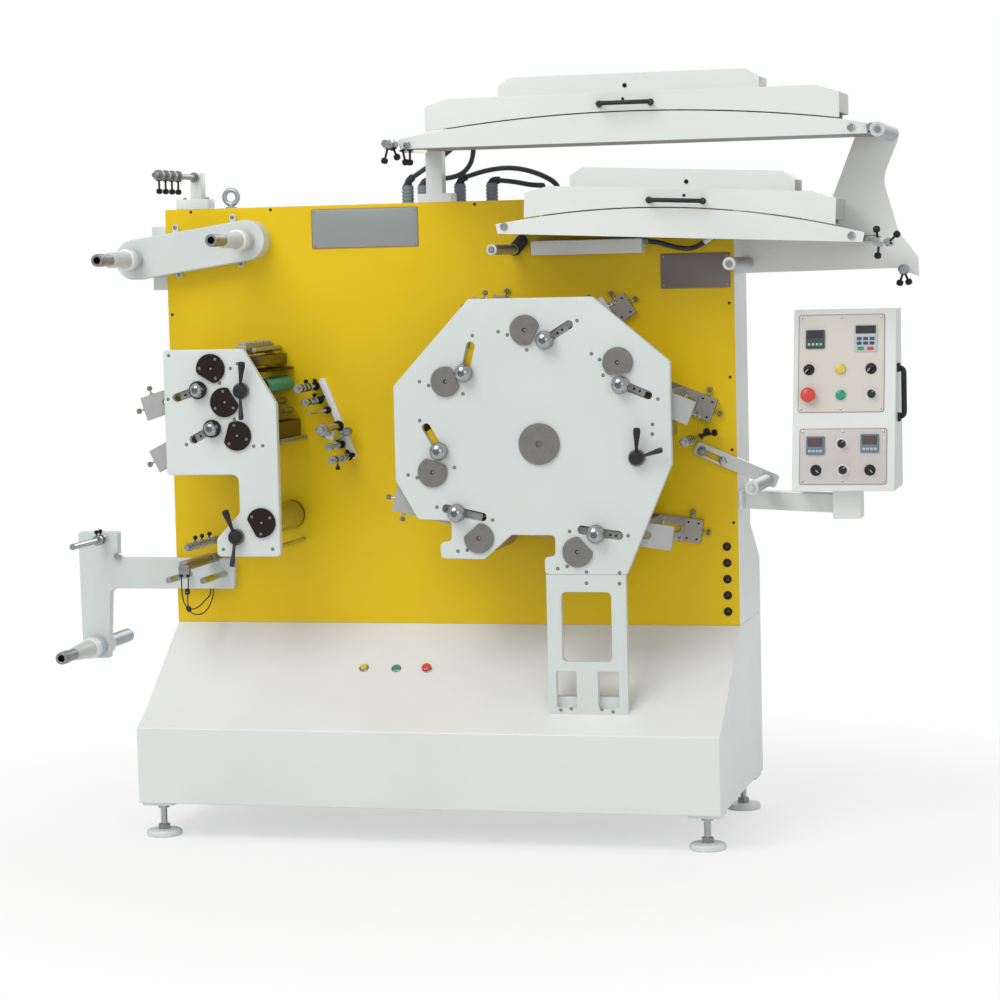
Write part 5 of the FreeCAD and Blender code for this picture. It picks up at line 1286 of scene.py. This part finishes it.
def collared_rod(form, x, z, front, back, radius, rings, drop, finish=CHROME):
    """A polished rod with split collars and, where drop says, a thumb screw in each."""
    length = back - front
    across(x, z, back, [(0, 0), (radius, 0), (radius, length - 1), (radius - 1, length),
                        (radius * 0.4, length), (radius * 0.36, length - 2), (0, length - 2)],
           finish, form, 24)
    for y in rings:
        across(x, z, y + 6, [(radius, 0), (radius + 5.2, 0), (radius + 6, 0.8), (radius + 6, 11.2),
                             (radius + 5.2, 12), (radius, 12)], finish, form, 32)
        if drop:
            way = Vector((drop[0], 0, drop[1]))
            thumb_screw(form, at(x, y, z) + way * ((radius + 3) * MM), way, 0.86, BLACK, BLACK_KNURL, 8.0)


def guide_fittings():
    """The rods on the rewind bracket, the sensor clamp and the slanted web guide."""
    form = Form()
    collared_rod(form, -209, 807, 90, 332, 9, (278, 306), (-0.1, 1))
    collared_rod(form, -168, 757, 318, 332, 10, (), None)
    collared_rod(form, 48, 706, 160, 332, 9, (), None)
    collared_rod(form, 154, 706, 150, 332, 9, (), None)
    collared_rod(form, 134, 806, 80, 358, 7, (150, 205, 265), (0.1, 1))
    for y in (110, 322):
        across(134, 806, y, [(7, 0), (11, 0), (12, 1), (12, 8), (11, 9), (7, 9)], STEEL, form, 28)
    sensor_clamp(form)
    web_guide(form)
    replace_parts(form.piece("guide_fittings"), "guide_rods")


def sensor_clamp(form):
    """The grey arm that carries the two cords, with its clamp at the front."""
    across(126, 754, 350, [(0, 0), (13, 0), (13, 14), (9, 15), (9, 34), (13, 35), (13, 52), (9.5, 54),
                           (9.5, 262), (8, 264), (0, 264)], STEEL, form, 28)
    form.block((112, 112, 744), (140, 330, 753), STEEL, 1.0)
    form.block((108, 80, 731), (140, 98, 756), STEEL, 3.0)
    form.block((106, 92, 748), (132, 330, 766), REAR_ALUMINIUM, 2.0)
    for x in (114, 134):
        form.turned(at(x, 88, 731), -UP, [(0, -4), (5.6, -4), (5.6, 6), (4, 8), (1.8, 8)], BLACK, 18)


def web_guide(form):
    """A narrow slanted bar with collared rods of several sizes, their thumbs and a clamped block."""
    ends = ((459, 1252), (543, 1042))
    way = toward(*ends)
    side = Vector((-way.z, 0, way.x))
    outline = []
    for end, start in ((ends[1], 0.0), (ends[0], math.pi)):
        for i in range(13):
            a = start + math.pi * i / 12
            p = Vector((end[0], 0, end[1])) + side * (10 * math.cos(a)) + way * (10 * math.sin(a))
            outline.append((p.x, p.z))
    form.slab(outline[::-1], 346, 358, PALE_WHITE_AND_PAINTED_LIGHT, 0.8)
    for x, z, front, radius, rings in ((440, 1240, 160, 6.5, (182, 214, 246, 278)),
                                       (452, 1200, 190, 5, (206, 238, 290)), (474, 1172, 170, 4.5, ()),
                                       (505, 1126, 168, 9, (186, 206)), (513, 1074, 210, 5, (226, 290)),
                                       (534, 1040, 160, 5.5, (182, 214, 262, 306))):
        collared_rod(form, x, z, front, 358, radius, rings, None, CHROME)
        across(x, z, 346, [(radius, 0), (radius + 6, 0), (radius + 6, 9), (radius + 4, 12), (radius, 12)],
               BLACKENED, form, 24)
    thumbs = ((440, 1240, 262, (-0.1, 1)), (440, 1240, 322, (0.35, 1)), (452, 1200, 300, (-0.1, 1)),
              (452, 1200, 330, (0.9, 0.6)), (513, 1074, 300, (0.1, 1)), (534, 1040, 232, (0, -1)),
              (534, 1040, 306, (0.3, 0.8)), (534, 1040, 330, (1, 0.3)))
    for x, z, y, (dx, dz) in thumbs:
        aim = Vector((dx, 0, dz)).normalized()
        thumb_screw(form, at(x, y, z) + aim * (5 * MM), aim, 0.85, BLACK, BLACK_KNURL,
                    8.0 if dz > 0 else 17.0)
    form.block((492, 226, 1096), (528, 330, 1120), CHROME, 2.0, Matrix.Rotation(math.radians(18), 3, "Y"))
    for y in (196, 226):
        across(504, 1124, y, [(9, 0), (15, 0), (16, 1), (16, 13), (15, 14), (9, 14)], CHROME, form, 34)
    across(538, 1112, 330, [(0, 0), (12, 0), (13, 1), (13, 14), (11, 17), (0, 17)], CHROME, form, 34)


def thread_fittings():
    """The thread guide's bracket on the body's top, and the lifting eye beside it."""
    form = Form()
    form.block((34, PANEL_FRONT, BODY_TOP), (130, 418, 1776), WHITE, 2.0)
    form.block((74, 368, 1770), (107, 408, 1850), WHITE, 2.0)
    collared_rod(form, 90, 1838, 45, 388, 8, (80, 130, 180, 230), None, STEEL)
    for y in (80, 130, 180, 230):
        across(90, 1838, y + 8, [(8, 0), (14.4, 0), (15, 1), (15, 15), (14.4, 16), (8, 16)],
               STEEL, form, 34)
        thumb_screw(form, at(90, y, 1825), -UP, 1.15, BLACK, BLACK_KNURL, 21.0)
    across(90, 1838, 368, [(7, 0), (13, 0), (14, 1), (14, 10), (13, 11), (7, 11)], STEEL, form, 32)
    for x in (50, 118):
        form.turned(at(x, 388, 1776), UP, HEX_HEAD, STEEL, 6)
    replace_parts(form.piece("thread_guide_bracket"), "thread_guide")
    eye = Form()
    middle = at(170, 445, 1781)
    ring = []
    for i in range(37):
        a = math.tau * i / 36
        ring.append(middle + Vector((math.cos(a), 0, math.sin(a))) * (20 * MM))
    eye.sweep(ring, 7, ROLLER_GREY, 14)
    eye.turned(at(170, 445, BODY_TOP), UP, [(0, 0), (18, 0), (18, 3), (16, 4.4), (9, 5), (8, 14), (0, 16)],
               ROLLER_GREY, 28)
    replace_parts(eye.piece("eyebolt_ring"), "lifting_eyebolt")


def swing_fittings():
    """The swing bracket's nuts, and the collared rod with black thumbs at its upper end."""
    form = Form()
    collared_rod(form, 1528, 1084, 150, 347, 7, (172, 196, 220, 244, 268), None, CHROME)
    for tip in ((1562, 330, 1103), (1582, 338, 1098)):
        thumb_between(form, (1543, 334, 1088), tip)
    across(1544, 1047, 347, [(0, 0), (14, 0), (14, 2), (13, 3), (9, 3)], STEEL, form, 28)
    across(1544, 1047, 344, [(0, 0), (9, 0), (9, 6), (7.6, 7), (0, 7)], CHROME, form, 6)
    across(1722, 966, 346, [(0, 0), (13, 0), (13, 6), (8, 6)], STEEL, form, 24)
    across(1604, 1019, 347, [(0, 0), (13, 0), (13, 2), (9, 3), (8, 9), (0, 10)], CHROME, form, 24)
    form.piece("swing_bracket_nuts")


# Top of the cabinet

# Each gland's x and the hose that leaves it
GLANDS = [(692, "upper_hose_1"), (738, "upper_hose_2"), (845, "lower_hose_1"), (938, "lower_hose_2")]


def glands():
    """Ribbed grey gland bodies with blue-black elbows."""
    form = Form()
    for x, hose in GLANDS:
        ribs = [(0, 0)]
        for i in range(5):
            h = i * 10.0
            ribs += [(17.5, h), (17.5, h + 5.4), (16.8, h + 6), (15.4, h + 6), (15.4, h + 9.4)]
        ribs += [(17.5, 50), (16, 51.5), (0, 52)]
        form.turned(at(x, GLAND_Y, BODY_TOP), UP, ribs, GREY_PLASTIC, 26)
        route = HOSE_ROUTES[hose]
        start = Vector(route[0])
        away = (start - Vector(route[1])).normalized()
        turn = start + away * ((start.x - x) / -away.x)
        bend = []
        foot = Vector((x, GLAND_Y, 1800))
        for i in range(9):
            t = i / 8
            bend.append(at(*(foot * (1 - t) ** 2 + turn * (2 * t * (1 - t)) + start * t ** 2)))
        form.sweep(bend, 10.6, BLUE_BLACK, 20)
        along = (at(*route[1]) - at(*route[0])).normalized()
        form.turned(at(*start) - along * 0.004, along, [(0, 0), (11, 0), (11, 3.2), (10, 4), (7.6, 4)],
                    BLUE_BLACK, 24)
        form.turned(at(x, GLAND_Y, 1797), UP, [(0, 0), (15, 0), (15, 5), (13, 7), (0, 7)], BLUE_BLACK, 6)
    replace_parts(form.piece("ribbed_glands"), "cable_glands")


# Each hood's two ends, the height of its foot, its tilt in degrees, its handle's ends and its lid
UPPER = dict(x0=760.0, x1=2043.0, z=1889.0, tilt=0.0, handle=(1315.0, 1470.0), lid="upper_dryer_lid")
LOWER = dict(x0=1026.0, x1=2027.0, z=1630.0, tilt=-2.7, handle=(1448.0, 1601.0), lid="lower_dryer_lid")


def hood_spot(hood, x, y, up):
    """A place in a hood's own level frame, turned to its tilt."""
    middle = (hood["x0"] + hood["x1"]) / 2
    tilt = math.radians(hood["tilt"])
    dx = x - middle
    return at(middle + dx * math.cos(tilt) - up * math.sin(tilt),
              y, hood["z"] + dx * math.sin(tilt) + up * math.cos(tilt))


def hood_handles():
    """A black bow handle and two dark bolts on each lid."""
    for hood, rise, start, bolt_x in ((UPPER, 102, 0, 1387), (LOWER, 99, -8, 1542)):
        form = Form()
        x0, x1 = hood["handle"]
        x0 += start
        route = []
        for x, y in ((x0 + 8, 131), (x0 + 8, 110), (x0 + 10, 102), (x0 + 16, 99), (x0 + 24, 98),
                     (x1 - 24, 98), (x1 - 16, 99), (x1 - 10, 102), (x1 - 8, 110), (x1 - 8, 131)):
            route.append(hood_spot(hood, x, y, rise))
        form.sweep(route, 6, BLACK, 16)
        for x in (x0 + 8, x1 - 8):
            form.turned(hood_spot(hood, x, 130.4, rise), OUT, [(0, 0), (9, 0), (9, 4), (8, 6), (0, 6)],
                        BLACK, 24)
        form.turned(hood_spot(hood, bolt_x, 158.4, 150), OUT, [(0, 0), (6, 0), (6, 2), (4.4, 3), (0, 3)],
                    BLACKENED, 16)
        form.turned(hood_spot(hood, bolt_x, 130.4, 113), OUT, [(0, 0), (4, 0), (4, 2), (3, 3), (0, 3)],
                    BLACKENED, 16)
        form.piece(hood["lid"] + "_bow", hood["lid"])


def hood_guides():
    """Thick collared rods, long thumb screws and chrome bolts at the dryers' ends and under the bracket."""
    form = Form()
    x, z = 752, 1902
    across(x, z, 134, [(0, 0), (11, 0), (11, 14), (14, 15), (14, 34), (11, 35), (11, 52), (14, 53),
                       (14, 76), (11, 77), (11, 92), (9, 94), (4, 94), (4, 90), (0, 90)], CHROME, form, 32)
    for foot, tip in (((752, 66, 1890), (742, 66, 1856)), ((757, 104, 1890), (768, 100, 1866)),
                      ((779, 116, 1886), (788, 112, 1852)), ((800, 116, 1886), (800, 112, 1851))):
        thumb_between(form, foot, tip)
    for hood, bolt_x, rise in ((UPPER, 788, 11), (UPPER, 1993, 17), (LOWER, 1052, 20), (LOWER, 1990, 16)):
        form.turned(hood_spot(hood, bolt_x, LID_FRONT, rise), OUT, HOOD_BOLT, CHROME, 28)
    form.slab([(780, 1878), (846, 1876), (846, 1884), (780, 1886)], 118, 132, PALE_WHITE_AND_PAINTED_LIGHT, 0.6)
    form.block((2034, 118, 1896), (2054, 134, 1917), CHROME, 2.0)
    form.turned(at(2012, 150, 1617), Vector((1, 0, 0)), [(0, 0), (8, 0), (8, 10), (7, 11), (8, 12), (8, 22),
                                                         (7, 23), (8, 24), (8, 40), (0, 40)], STEEL, 24)
    across(2056, 1608, 190, [(0, 0), (10, 0), (10, 20), (14, 21), (14, 44), (10, 45), (10, 58), (0, 60)],
           CHROME, form, 30)
    across(2078, 1606, 260, [(0, 0), (8, 0), (8, 14), (12, 15), (12, 28), (8, 29), (8, 42), (12, 43),
                             (12, 56), (8, 57), (8, 90), (0, 90)], CHROME, form, 30)
    for foot, tip in (((2056, 150, 1616), (2056, 130, 1640)), ((2082, 190, 1606), (2104, 180, 1626)),
                      ((2058, 160, 1600), (2056, 150, 1570))):
        thumb_between(form, foot, tip)
    across(2104, 1533, 357, [(0, 0), (10, 0), (10, 60), (8, 62), (0, 62)], CHROME, form, 30)
    across(2104, 1533, 345, [(10, 0), (13, 0), (13, 16), (10, 17), (10, 26), (13, 27), (13, 42), (10, 43)],
           STEEL, form, 30)
    for foot, tip in (((2102, 322, 1522), (2094, 318, 1496)), ((2106, 338, 1522), (2116, 338, 1498))):
        thumb_between(form, foot, tip)
    form.piece("hood_end_guides")


def thumb_between(form, foot, tip):
    """A black-headed thumb screw whose long stem runs from one place to another."""
    foot, tip = at(*foot), at(*tip)
    way = tip - foot
    thumb_screw(form, foot, way.normalized(), 1.25, BLACK, BLACK_KNURL,
                max(6.0, way.length / MM - 8) / 1.25)


# Control box

BUTTON_H = 9.0
LEAN_Z0 = 949.0
LEAN_Y0 = 180.0
LEAN = math.atan2(100.0, 481.0)
LEAN_OUT = Vector((0, -math.cos(LEAN), math.sin(LEAN)))
LEAN_TURN = Matrix.Rotation(-LEAN, 3, "X")


def on_box(x, z, out=0.0):
    """A place on the control box's leaning face, or in front of it."""
    return at(x, LEAN_Y0 + (z - LEAN_Z0) * math.tan(LEAN), z) + LEAN_OUT * (out * MM)


def tile(form, x, z, width, height, out0, out1, finish, ease=0.6):
    """A small block that stands on the leaning face."""
    middle = on_box(x, z, (out0 + out1) / 2)
    spot = (middle.x / MM + ORIGIN_X, middle.y / MM + ORIGIN_Y, middle.z / MM)
    half = (width / 2, (out1 - out0) / 2, height / 2)
    form.block([s - h for s, h in zip(spot, half)], [s + h for s, h in zip(spot, half)],
               finish, ease, LEAN_TURN, 1)


# The bars of each figure; each bar's place in x and z, and 1 where it stands upright
SEGMENTS = {"0": "abcdef", "5": "afgcd", "8": "abcdefg"}
SEGMENT_PLACES = {"a": (0, 1, 0), "b": (0.5, 0.5, 1), "c": (0.5, -0.5, 1), "d": (0, -1, 0),
                  "e": (-0.5, -0.5, 1), "f": (-0.5, 0.5, 1), "g": (0, 0, 0)}


def figures(form, x, z, digits, size, out, finish):
    """Plain seven-bar figures."""
    for i, digit in enumerate(digits):
        middle = x + (i - (len(digits) - 1) / 2) * size * 0.86
        for bar in SEGMENTS[digit]:
            dx, dz, upright = SEGMENT_PLACES[bar]
            wide, high = (size * 0.12, size * 0.4) if upright else (size * 0.4, size * 0.12)
            bar_x = middle + dx * size * 0.52
            bar_z = z + dz * size * 0.46
            tile(form, bar_x, bar_z, wide, high, out, out + 0.3, finish, 0)


def ringed(form, x, z, radius, finish):
    """A domed push button in a pale ring."""
    form.turned(on_box(x, z), LEAN_OUT, [(0, 0), (radius + 5, 0), (radius + 5, 3), (radius + 3.6, 4.6),
                                         (radius + 1, 5), (radius + 0.6, 3)], BEZEL, 30)
    form.turned(on_box(x, z), LEAN_OUT, [(0, 2), (radius, 2), (radius, BUTTON_H),
                                         (radius * 0.8, BUTTON_H + 1.2), (0, BUTTON_H + 1.8)], finish, 30)


def selector(form, x, z, way):
    """A black selector with a raised bar and a white pointer."""
    form.turned(on_box(x, z), LEAN_OUT, [(0, 0), (15, 0), (15, 3), (13, 6), (12, 7), (0, 7)], BLACK, 30)
    dx, dz = way
    a = on_box(x - dx * 11, z - dz * 11, 12)
    b = on_box(x + dx * 11, z + dz * 11, 12)
    form.pin(a, b, 4.0, BLACK, 12)
    form.pin(on_box(x + dx * 2, z + dz * 2, 15.6), on_box(x + dx * 12, z + dz * 12, 15.6), 1.1, BEZEL, 8)


def control_panels():
    """The leaning front's two panels with their meters, keys, knobs and buttons."""
    softened("control_box", 2.5, WHITE, segments=3)
    form = Form()
    for (x0, x1, z0, z1), finish in (((1828, 2059, 1156, 1416), PANEL_BEIGE),
                                     ((1834, 2068, 966, 1114), PANEL_ROSE)):
        rim = rounded([(x0, z0), (x1, z0), (x1, z1), (x0, z1)], 8)
        form.slab(rim, -1.0, 0.4, PANEL_EDGE, 0, lambda x, y, z: on_box(x, z, -y))
        inner = rounded([(x0 + 2, z0 + 2), (x1 - 2, z0 + 2), (x1 - 2, z1 - 2), (x0 + 2, z1 - 2)], 7)
        form.slab(inner, -1.8, 0.4, finish, 0.3, lambda x, y, z: on_box(x, z, -y))
        for x in (x0 + 9, (x0 + x1) / 2, x1 - 9):
            for z in (z0 + 9, z1 - 9):
                form.turned(on_box(x, z, 1.6), LEAN_OUT, [(0, 0), (3.4, 0), (3.0, 1.2), (1.6, 1.8),
                                                          (0, 1.8)], CHROME, 12)
    tile(form, 1873, 1350, 50, 50, 0, 8, METER_GREY, 1.6)
    tile(form, 1873, 1361, 42, 20, 7.4, 8.4, WINDOW, 0.3)
    tile(form, 1873, 1338, 42, 20, 7.4, 8.4, METER_GREEN, 0.3)
    for i in range(4):
        tile(form, 1857 + i * 10.6, 1336, 6.4, 6.4, 8.2, 9.4, DIGIT_GREEN if i == 3 else KEYPAD, 0.6)
    tile(form, 2008, 1351, 62, 74, 0, 5, KEYPAD, 1.6)
    tile(form, 2008, 1374, 54, 22, 4.6, 5.6, WINDOW, 0.4)
    for row in range(2):
        for i in range(3):
            tile(form, 1991 + i * 17, 1350 - row * 12, 13, 8.6, 4.6, 6.4, KEY_BLUE, 0.8)
    tile(form, 1995, 1324, 17, 9, 4.6, 6.4, BUTTON_GREEN, 0.8)
    tile(form, 2021, 1324, 17, 9, 4.6, 6.4, BUTTON_RED, 0.8)
    for x in (1877, 2022):
        z = 1069 if x < 1900 else 1074
        tile(form, x, z, 49, 49, 0, 7, METER_PALE, 1.6)
        tile(form, x, z + 8, 40, 24, 6.4, 7.4, METER_GREY, 0.4)
        figures(form, x, z + 13, "085", 10, 7.4, DIM_RED)
        figures(form, x, z + 2, "080", 7, 7.4, DIM_RED)
        for i in range(4):
            tile(form, x - 15 + i * 10, z - 15, 7.4, 6, 6.4, 8.2, KEYPAD, 0.6)
    lower_left = (-0.7, -0.7)
    lower_right = (0.7, -0.7)
    for x, z, way in ((1857, 1270, lower_left), (2023, 1271, lower_left), (1879, 1004, lower_right),
                      (2023, 1004, lower_right)):
        selector(form, x, z, way)
    ringed(form, 1942, 1270, 13, BUTTON_YELLOW)
    ringed(form, 1943, 1202, 13, BUTTON_GREEN)
    form.turned(on_box(1857, 1201), LEAN_OUT, [(0, 0), (15, 0), (15, 3), (11, 4), (9, 5), (9, 14),
                                               (18.4, 15), (20, 17.5), (19.4, 21), (15, 24.4), (8, 26),
                                               (0, 26.4)], BUTTON_RED, 36)
    for x, z in ((2025, 1204), (1947, 1073), (1951, 1004)):
        form.turned(on_box(x, z), LEAN_OUT, [(0, 0), (17, 0), (17, 1.8), (16, 2.4), (11, 2.4)], BEZEL, 32)
        form.turned(on_box(x, z), LEAN_OUT, [(0, 2), (11.4, 2), (10.6, 5), (10.2, 15), (9.2, 16.4),
                                             (0, 16.6)], BLACK, 26)
        form.pin(on_box(x + 2, z + 2, 16.6), on_box(x + 7, z + 7, 16.6), 0.7, BEZEL, 8)
    form.piece("control_fittings")
    handle = Form()
    route = [at(x, 280, z) for x, z in ((2089, 1140), (2096, 1140), (2101, 1142), (2105, 1147),
                                        (2106, 1154), (2106, 1258), (2105, 1265), (2101, 1270),
                                        (2096, 1272), (2089, 1272))]
    handle.sweep(route, [6, 6, 6.6, 7, 7.4, 7.4, 7, 6.6, 6, 6], BLACK, 18)
    for z in (1140, 1272):
        handle.block((2089, 269, z - 12), (2097, 291, z + 12), BLACK, 2.0)
    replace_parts(handle.piece("control_bow"), "control_handle")


# Base and small parts

def base_fittings():
    """Feet, slope buttons, grommets and the blank nameplates."""
    feet = Form()
    for x in (48, 1592):
        for y in (65, 648):
            feet.turned(at(x, y, 0), UP, [(0, 0), (47, 0), (50, 3), (50, 11), (46, 16), (30, 18), (0, 18)],
                        FOOT_RUBBER, 44)
            feet.turned(at(x, y, 18), UP, [(0, 0), (18, 0), (18, 12), (16.4, 14), (9, 14)], STEEL, 6)
            feet.turned(at(x, y, 18), UP, [(9, 14), (9, 60), (16, 60), (16, 70), (9, 70), (9, 73)],
                        CHROME, 22)
            feet.block((x - 45, y - 45, 90), (x + 45, y + 45, 100), WHITE, 1.2)
    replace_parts(feet.piece("foot_pads"), "levelling_feet")
    buttons = Form()
    slope = Vector((0, 275, 207)).normalized()
    away = Vector((0, -slope.z, slope.y))
    for x, finish, mushroom in ((600, BUTTON_YELLOW, False), (694, BUTTON_GREEN, False),
                                (782, BUTTON_RED, True)):
        foot = at(x, 213.0, 454.9)
        buttons.turned(foot, away, [(0, 0), (14, 0), (14, 2.6), (12.6, 4), (10, 4.4), (9.6, 3)], CHROME, 32)
        top = [(6, 3), (6, 5.4), (12.6, 6), (13.6, 7.6), (13, 10), (8, 11.8), (0, 12)] if mushroom else [
            (9.4, 3), (9.4, 6.4), (8.4, 7.6), (0, 8)]
        buttons.turned(foot, away, [(0, 3)] + top, finish, 28)
    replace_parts(buttons.piece("slope_buttons"), "base_buttons")
    small = Form()
    for i in range(5):
        across(1607, 603 + 45 * i, 364, [(0, 0), (9, 0), (9, 6), (12, 6.4), (12, 7.6), (10.6, 8.8),
                                         (7.4, 8.4), (6.4, 6), (6.4, 3)], BLACK, small, 28)
        across(1607, 603 + 45 * i, 364, [(0, 2.6), (6.4, 2.6), (5.4, 4.6), (0, 5.4)], DARK_BROWN, small, 22)
    for (x0, x1, z0, z1), finish in (((437, 750, 1626, 1738), NAMEPLATE),
                                     ((1436, 1630, 1493, 1590), SMALL_NAMEPLATE)):
        small.slab(rounded([(x0, z0), (x1, z0), (x1, z1), (x0, z1)], 5), 356.6, 358.2, PLATE_EDGE, 0.3)
        small.slab(rounded([(x0 + 3, z0 + 3), (x1 - 3, z0 + 3), (x1 - 3, z1 - 3), (x0 + 3, z1 - 3)], 4),
                   356.1, 358.2, finish, 0.2)
        for x in (x0 + 9, x1 - 9):
            for z in (z0 + 9, z1 - 9):
                across(x, z, 356.2, [(0, 0), (3, 0), (2.6, 1.1), (0, 1.6)], STEEL, small, 12)
    small.piece("panel_fittings")


# Screws in the side plates and in the panel, in x and z
PLATE_SCREWS = [(1460, 1138), (1459, 1112), (1261, 1417), (1043, 1391), (1068, 1382), (1121, 1341),
                (971, 1382), (820, 1260), (845, 1249), (941, 1225), (1298, 1328), (1320, 1312),
                (1329, 1270), (1476, 1205), (818, 1154), (781, 1006), (806, 999), (912, 1026), (860, 918),
                (1015, 883), (916, 798), (942, 801), (1228, 852), (1388, 840), (1193, 751), (1219, 757),
                (1272, 742), (1363, 740), (1271, 712), (1362, 711), (101, 1341), (301, 1316), (280, 1303),
                (248, 1263), (95, 1220), (287, 1163), (145, 1094), (341, 1088), (367, 1089), (243, 802),
                (387, 803)]
PANEL_SCREWS = [(1626, 1050), (1627, 849), (914, 1739), (78, 1740), (317, 1740), (12, 1449), (1625, 1451),
                (1624, 1249)]


def plate_screws():
    """Dark sunk screws on the side plates, each with a bright socket, and the panel's and lugs' screws."""
    places = [(at(x, PLATE_FRONT + 0.2, z), OUT, 0.8) for x, z in PLATE_SCREWS]
    heads("sunk_screws", places, SUNK_HEAD, DULL_SCREW)
    heads("screw_sockets", [(p + OUT * 0.0002, aim, size) for p, aim, size in places],
          SOCKET_GLINT, STEEL)
    dots = [(at(x, PANEL_FRONT, z), OUT, 0.7) for x, z in PANEL_SCREWS]
    heads("panel_screws", dots, DOT_HEAD, BLACKENED)
    lugs = [(32, 1697), (205, 1722), (227, 1589), (39, 1562)]
    others = [(at(x, 348, z), OUT, 1.0) for x, z in lugs]
    others += [(at(x, 80, z), OUT, 0.8) for x, z in ((1193, 367), (1222, 371), (1306, 370), (1337, 364))]
    heads("lug_screws", others, SOCKET_HEAD, STEEL)


def rear_panels():
    """Two removable covers with louvres and latches on the body's back."""
    form = Form()
    for x0, x1 in ((60, 800), (840, 1580)):
        form.block((x0, 560, 860), (x1, 563, 1700), WHITE, 1.2)
        for i in range(9):
            z = 1520 + i * 14
            form.block((x0 + 240, 562, z), (x1 - 240, 567, z + 6), WHITE, 1.4)
        for x in (x0 + 24, x1 - 24):
            for z in (890, 1280, 1670):
                form.turned(at(x, 563, z), -OUT, [(0, 0), (9, 0), (9, 2), (7, 4), (3, 4), (2.6, 3), (0, 3)],
                            STEEL, 20)
    form.piece("rear_covers")


def main():
    camera()
    hoses()
    sensor_cords()
    surroundings()
    floor()
    toggles()
    cabinets()
    side_plates()
    hoods()
    caps()
    knobs()
    for name in LEVERS:
        lever(name)
    print_rollers()
    carriages()
    two_colour_carriages()
    stays()
    reels_and_rollers()
    guide_fittings()
    thread_fittings()
    swing_fittings()
    glands()
    hood_handles()
    hood_guides()
    control_panels()
    base_fittings()
    plate_screws()
    rear_panels()


main()
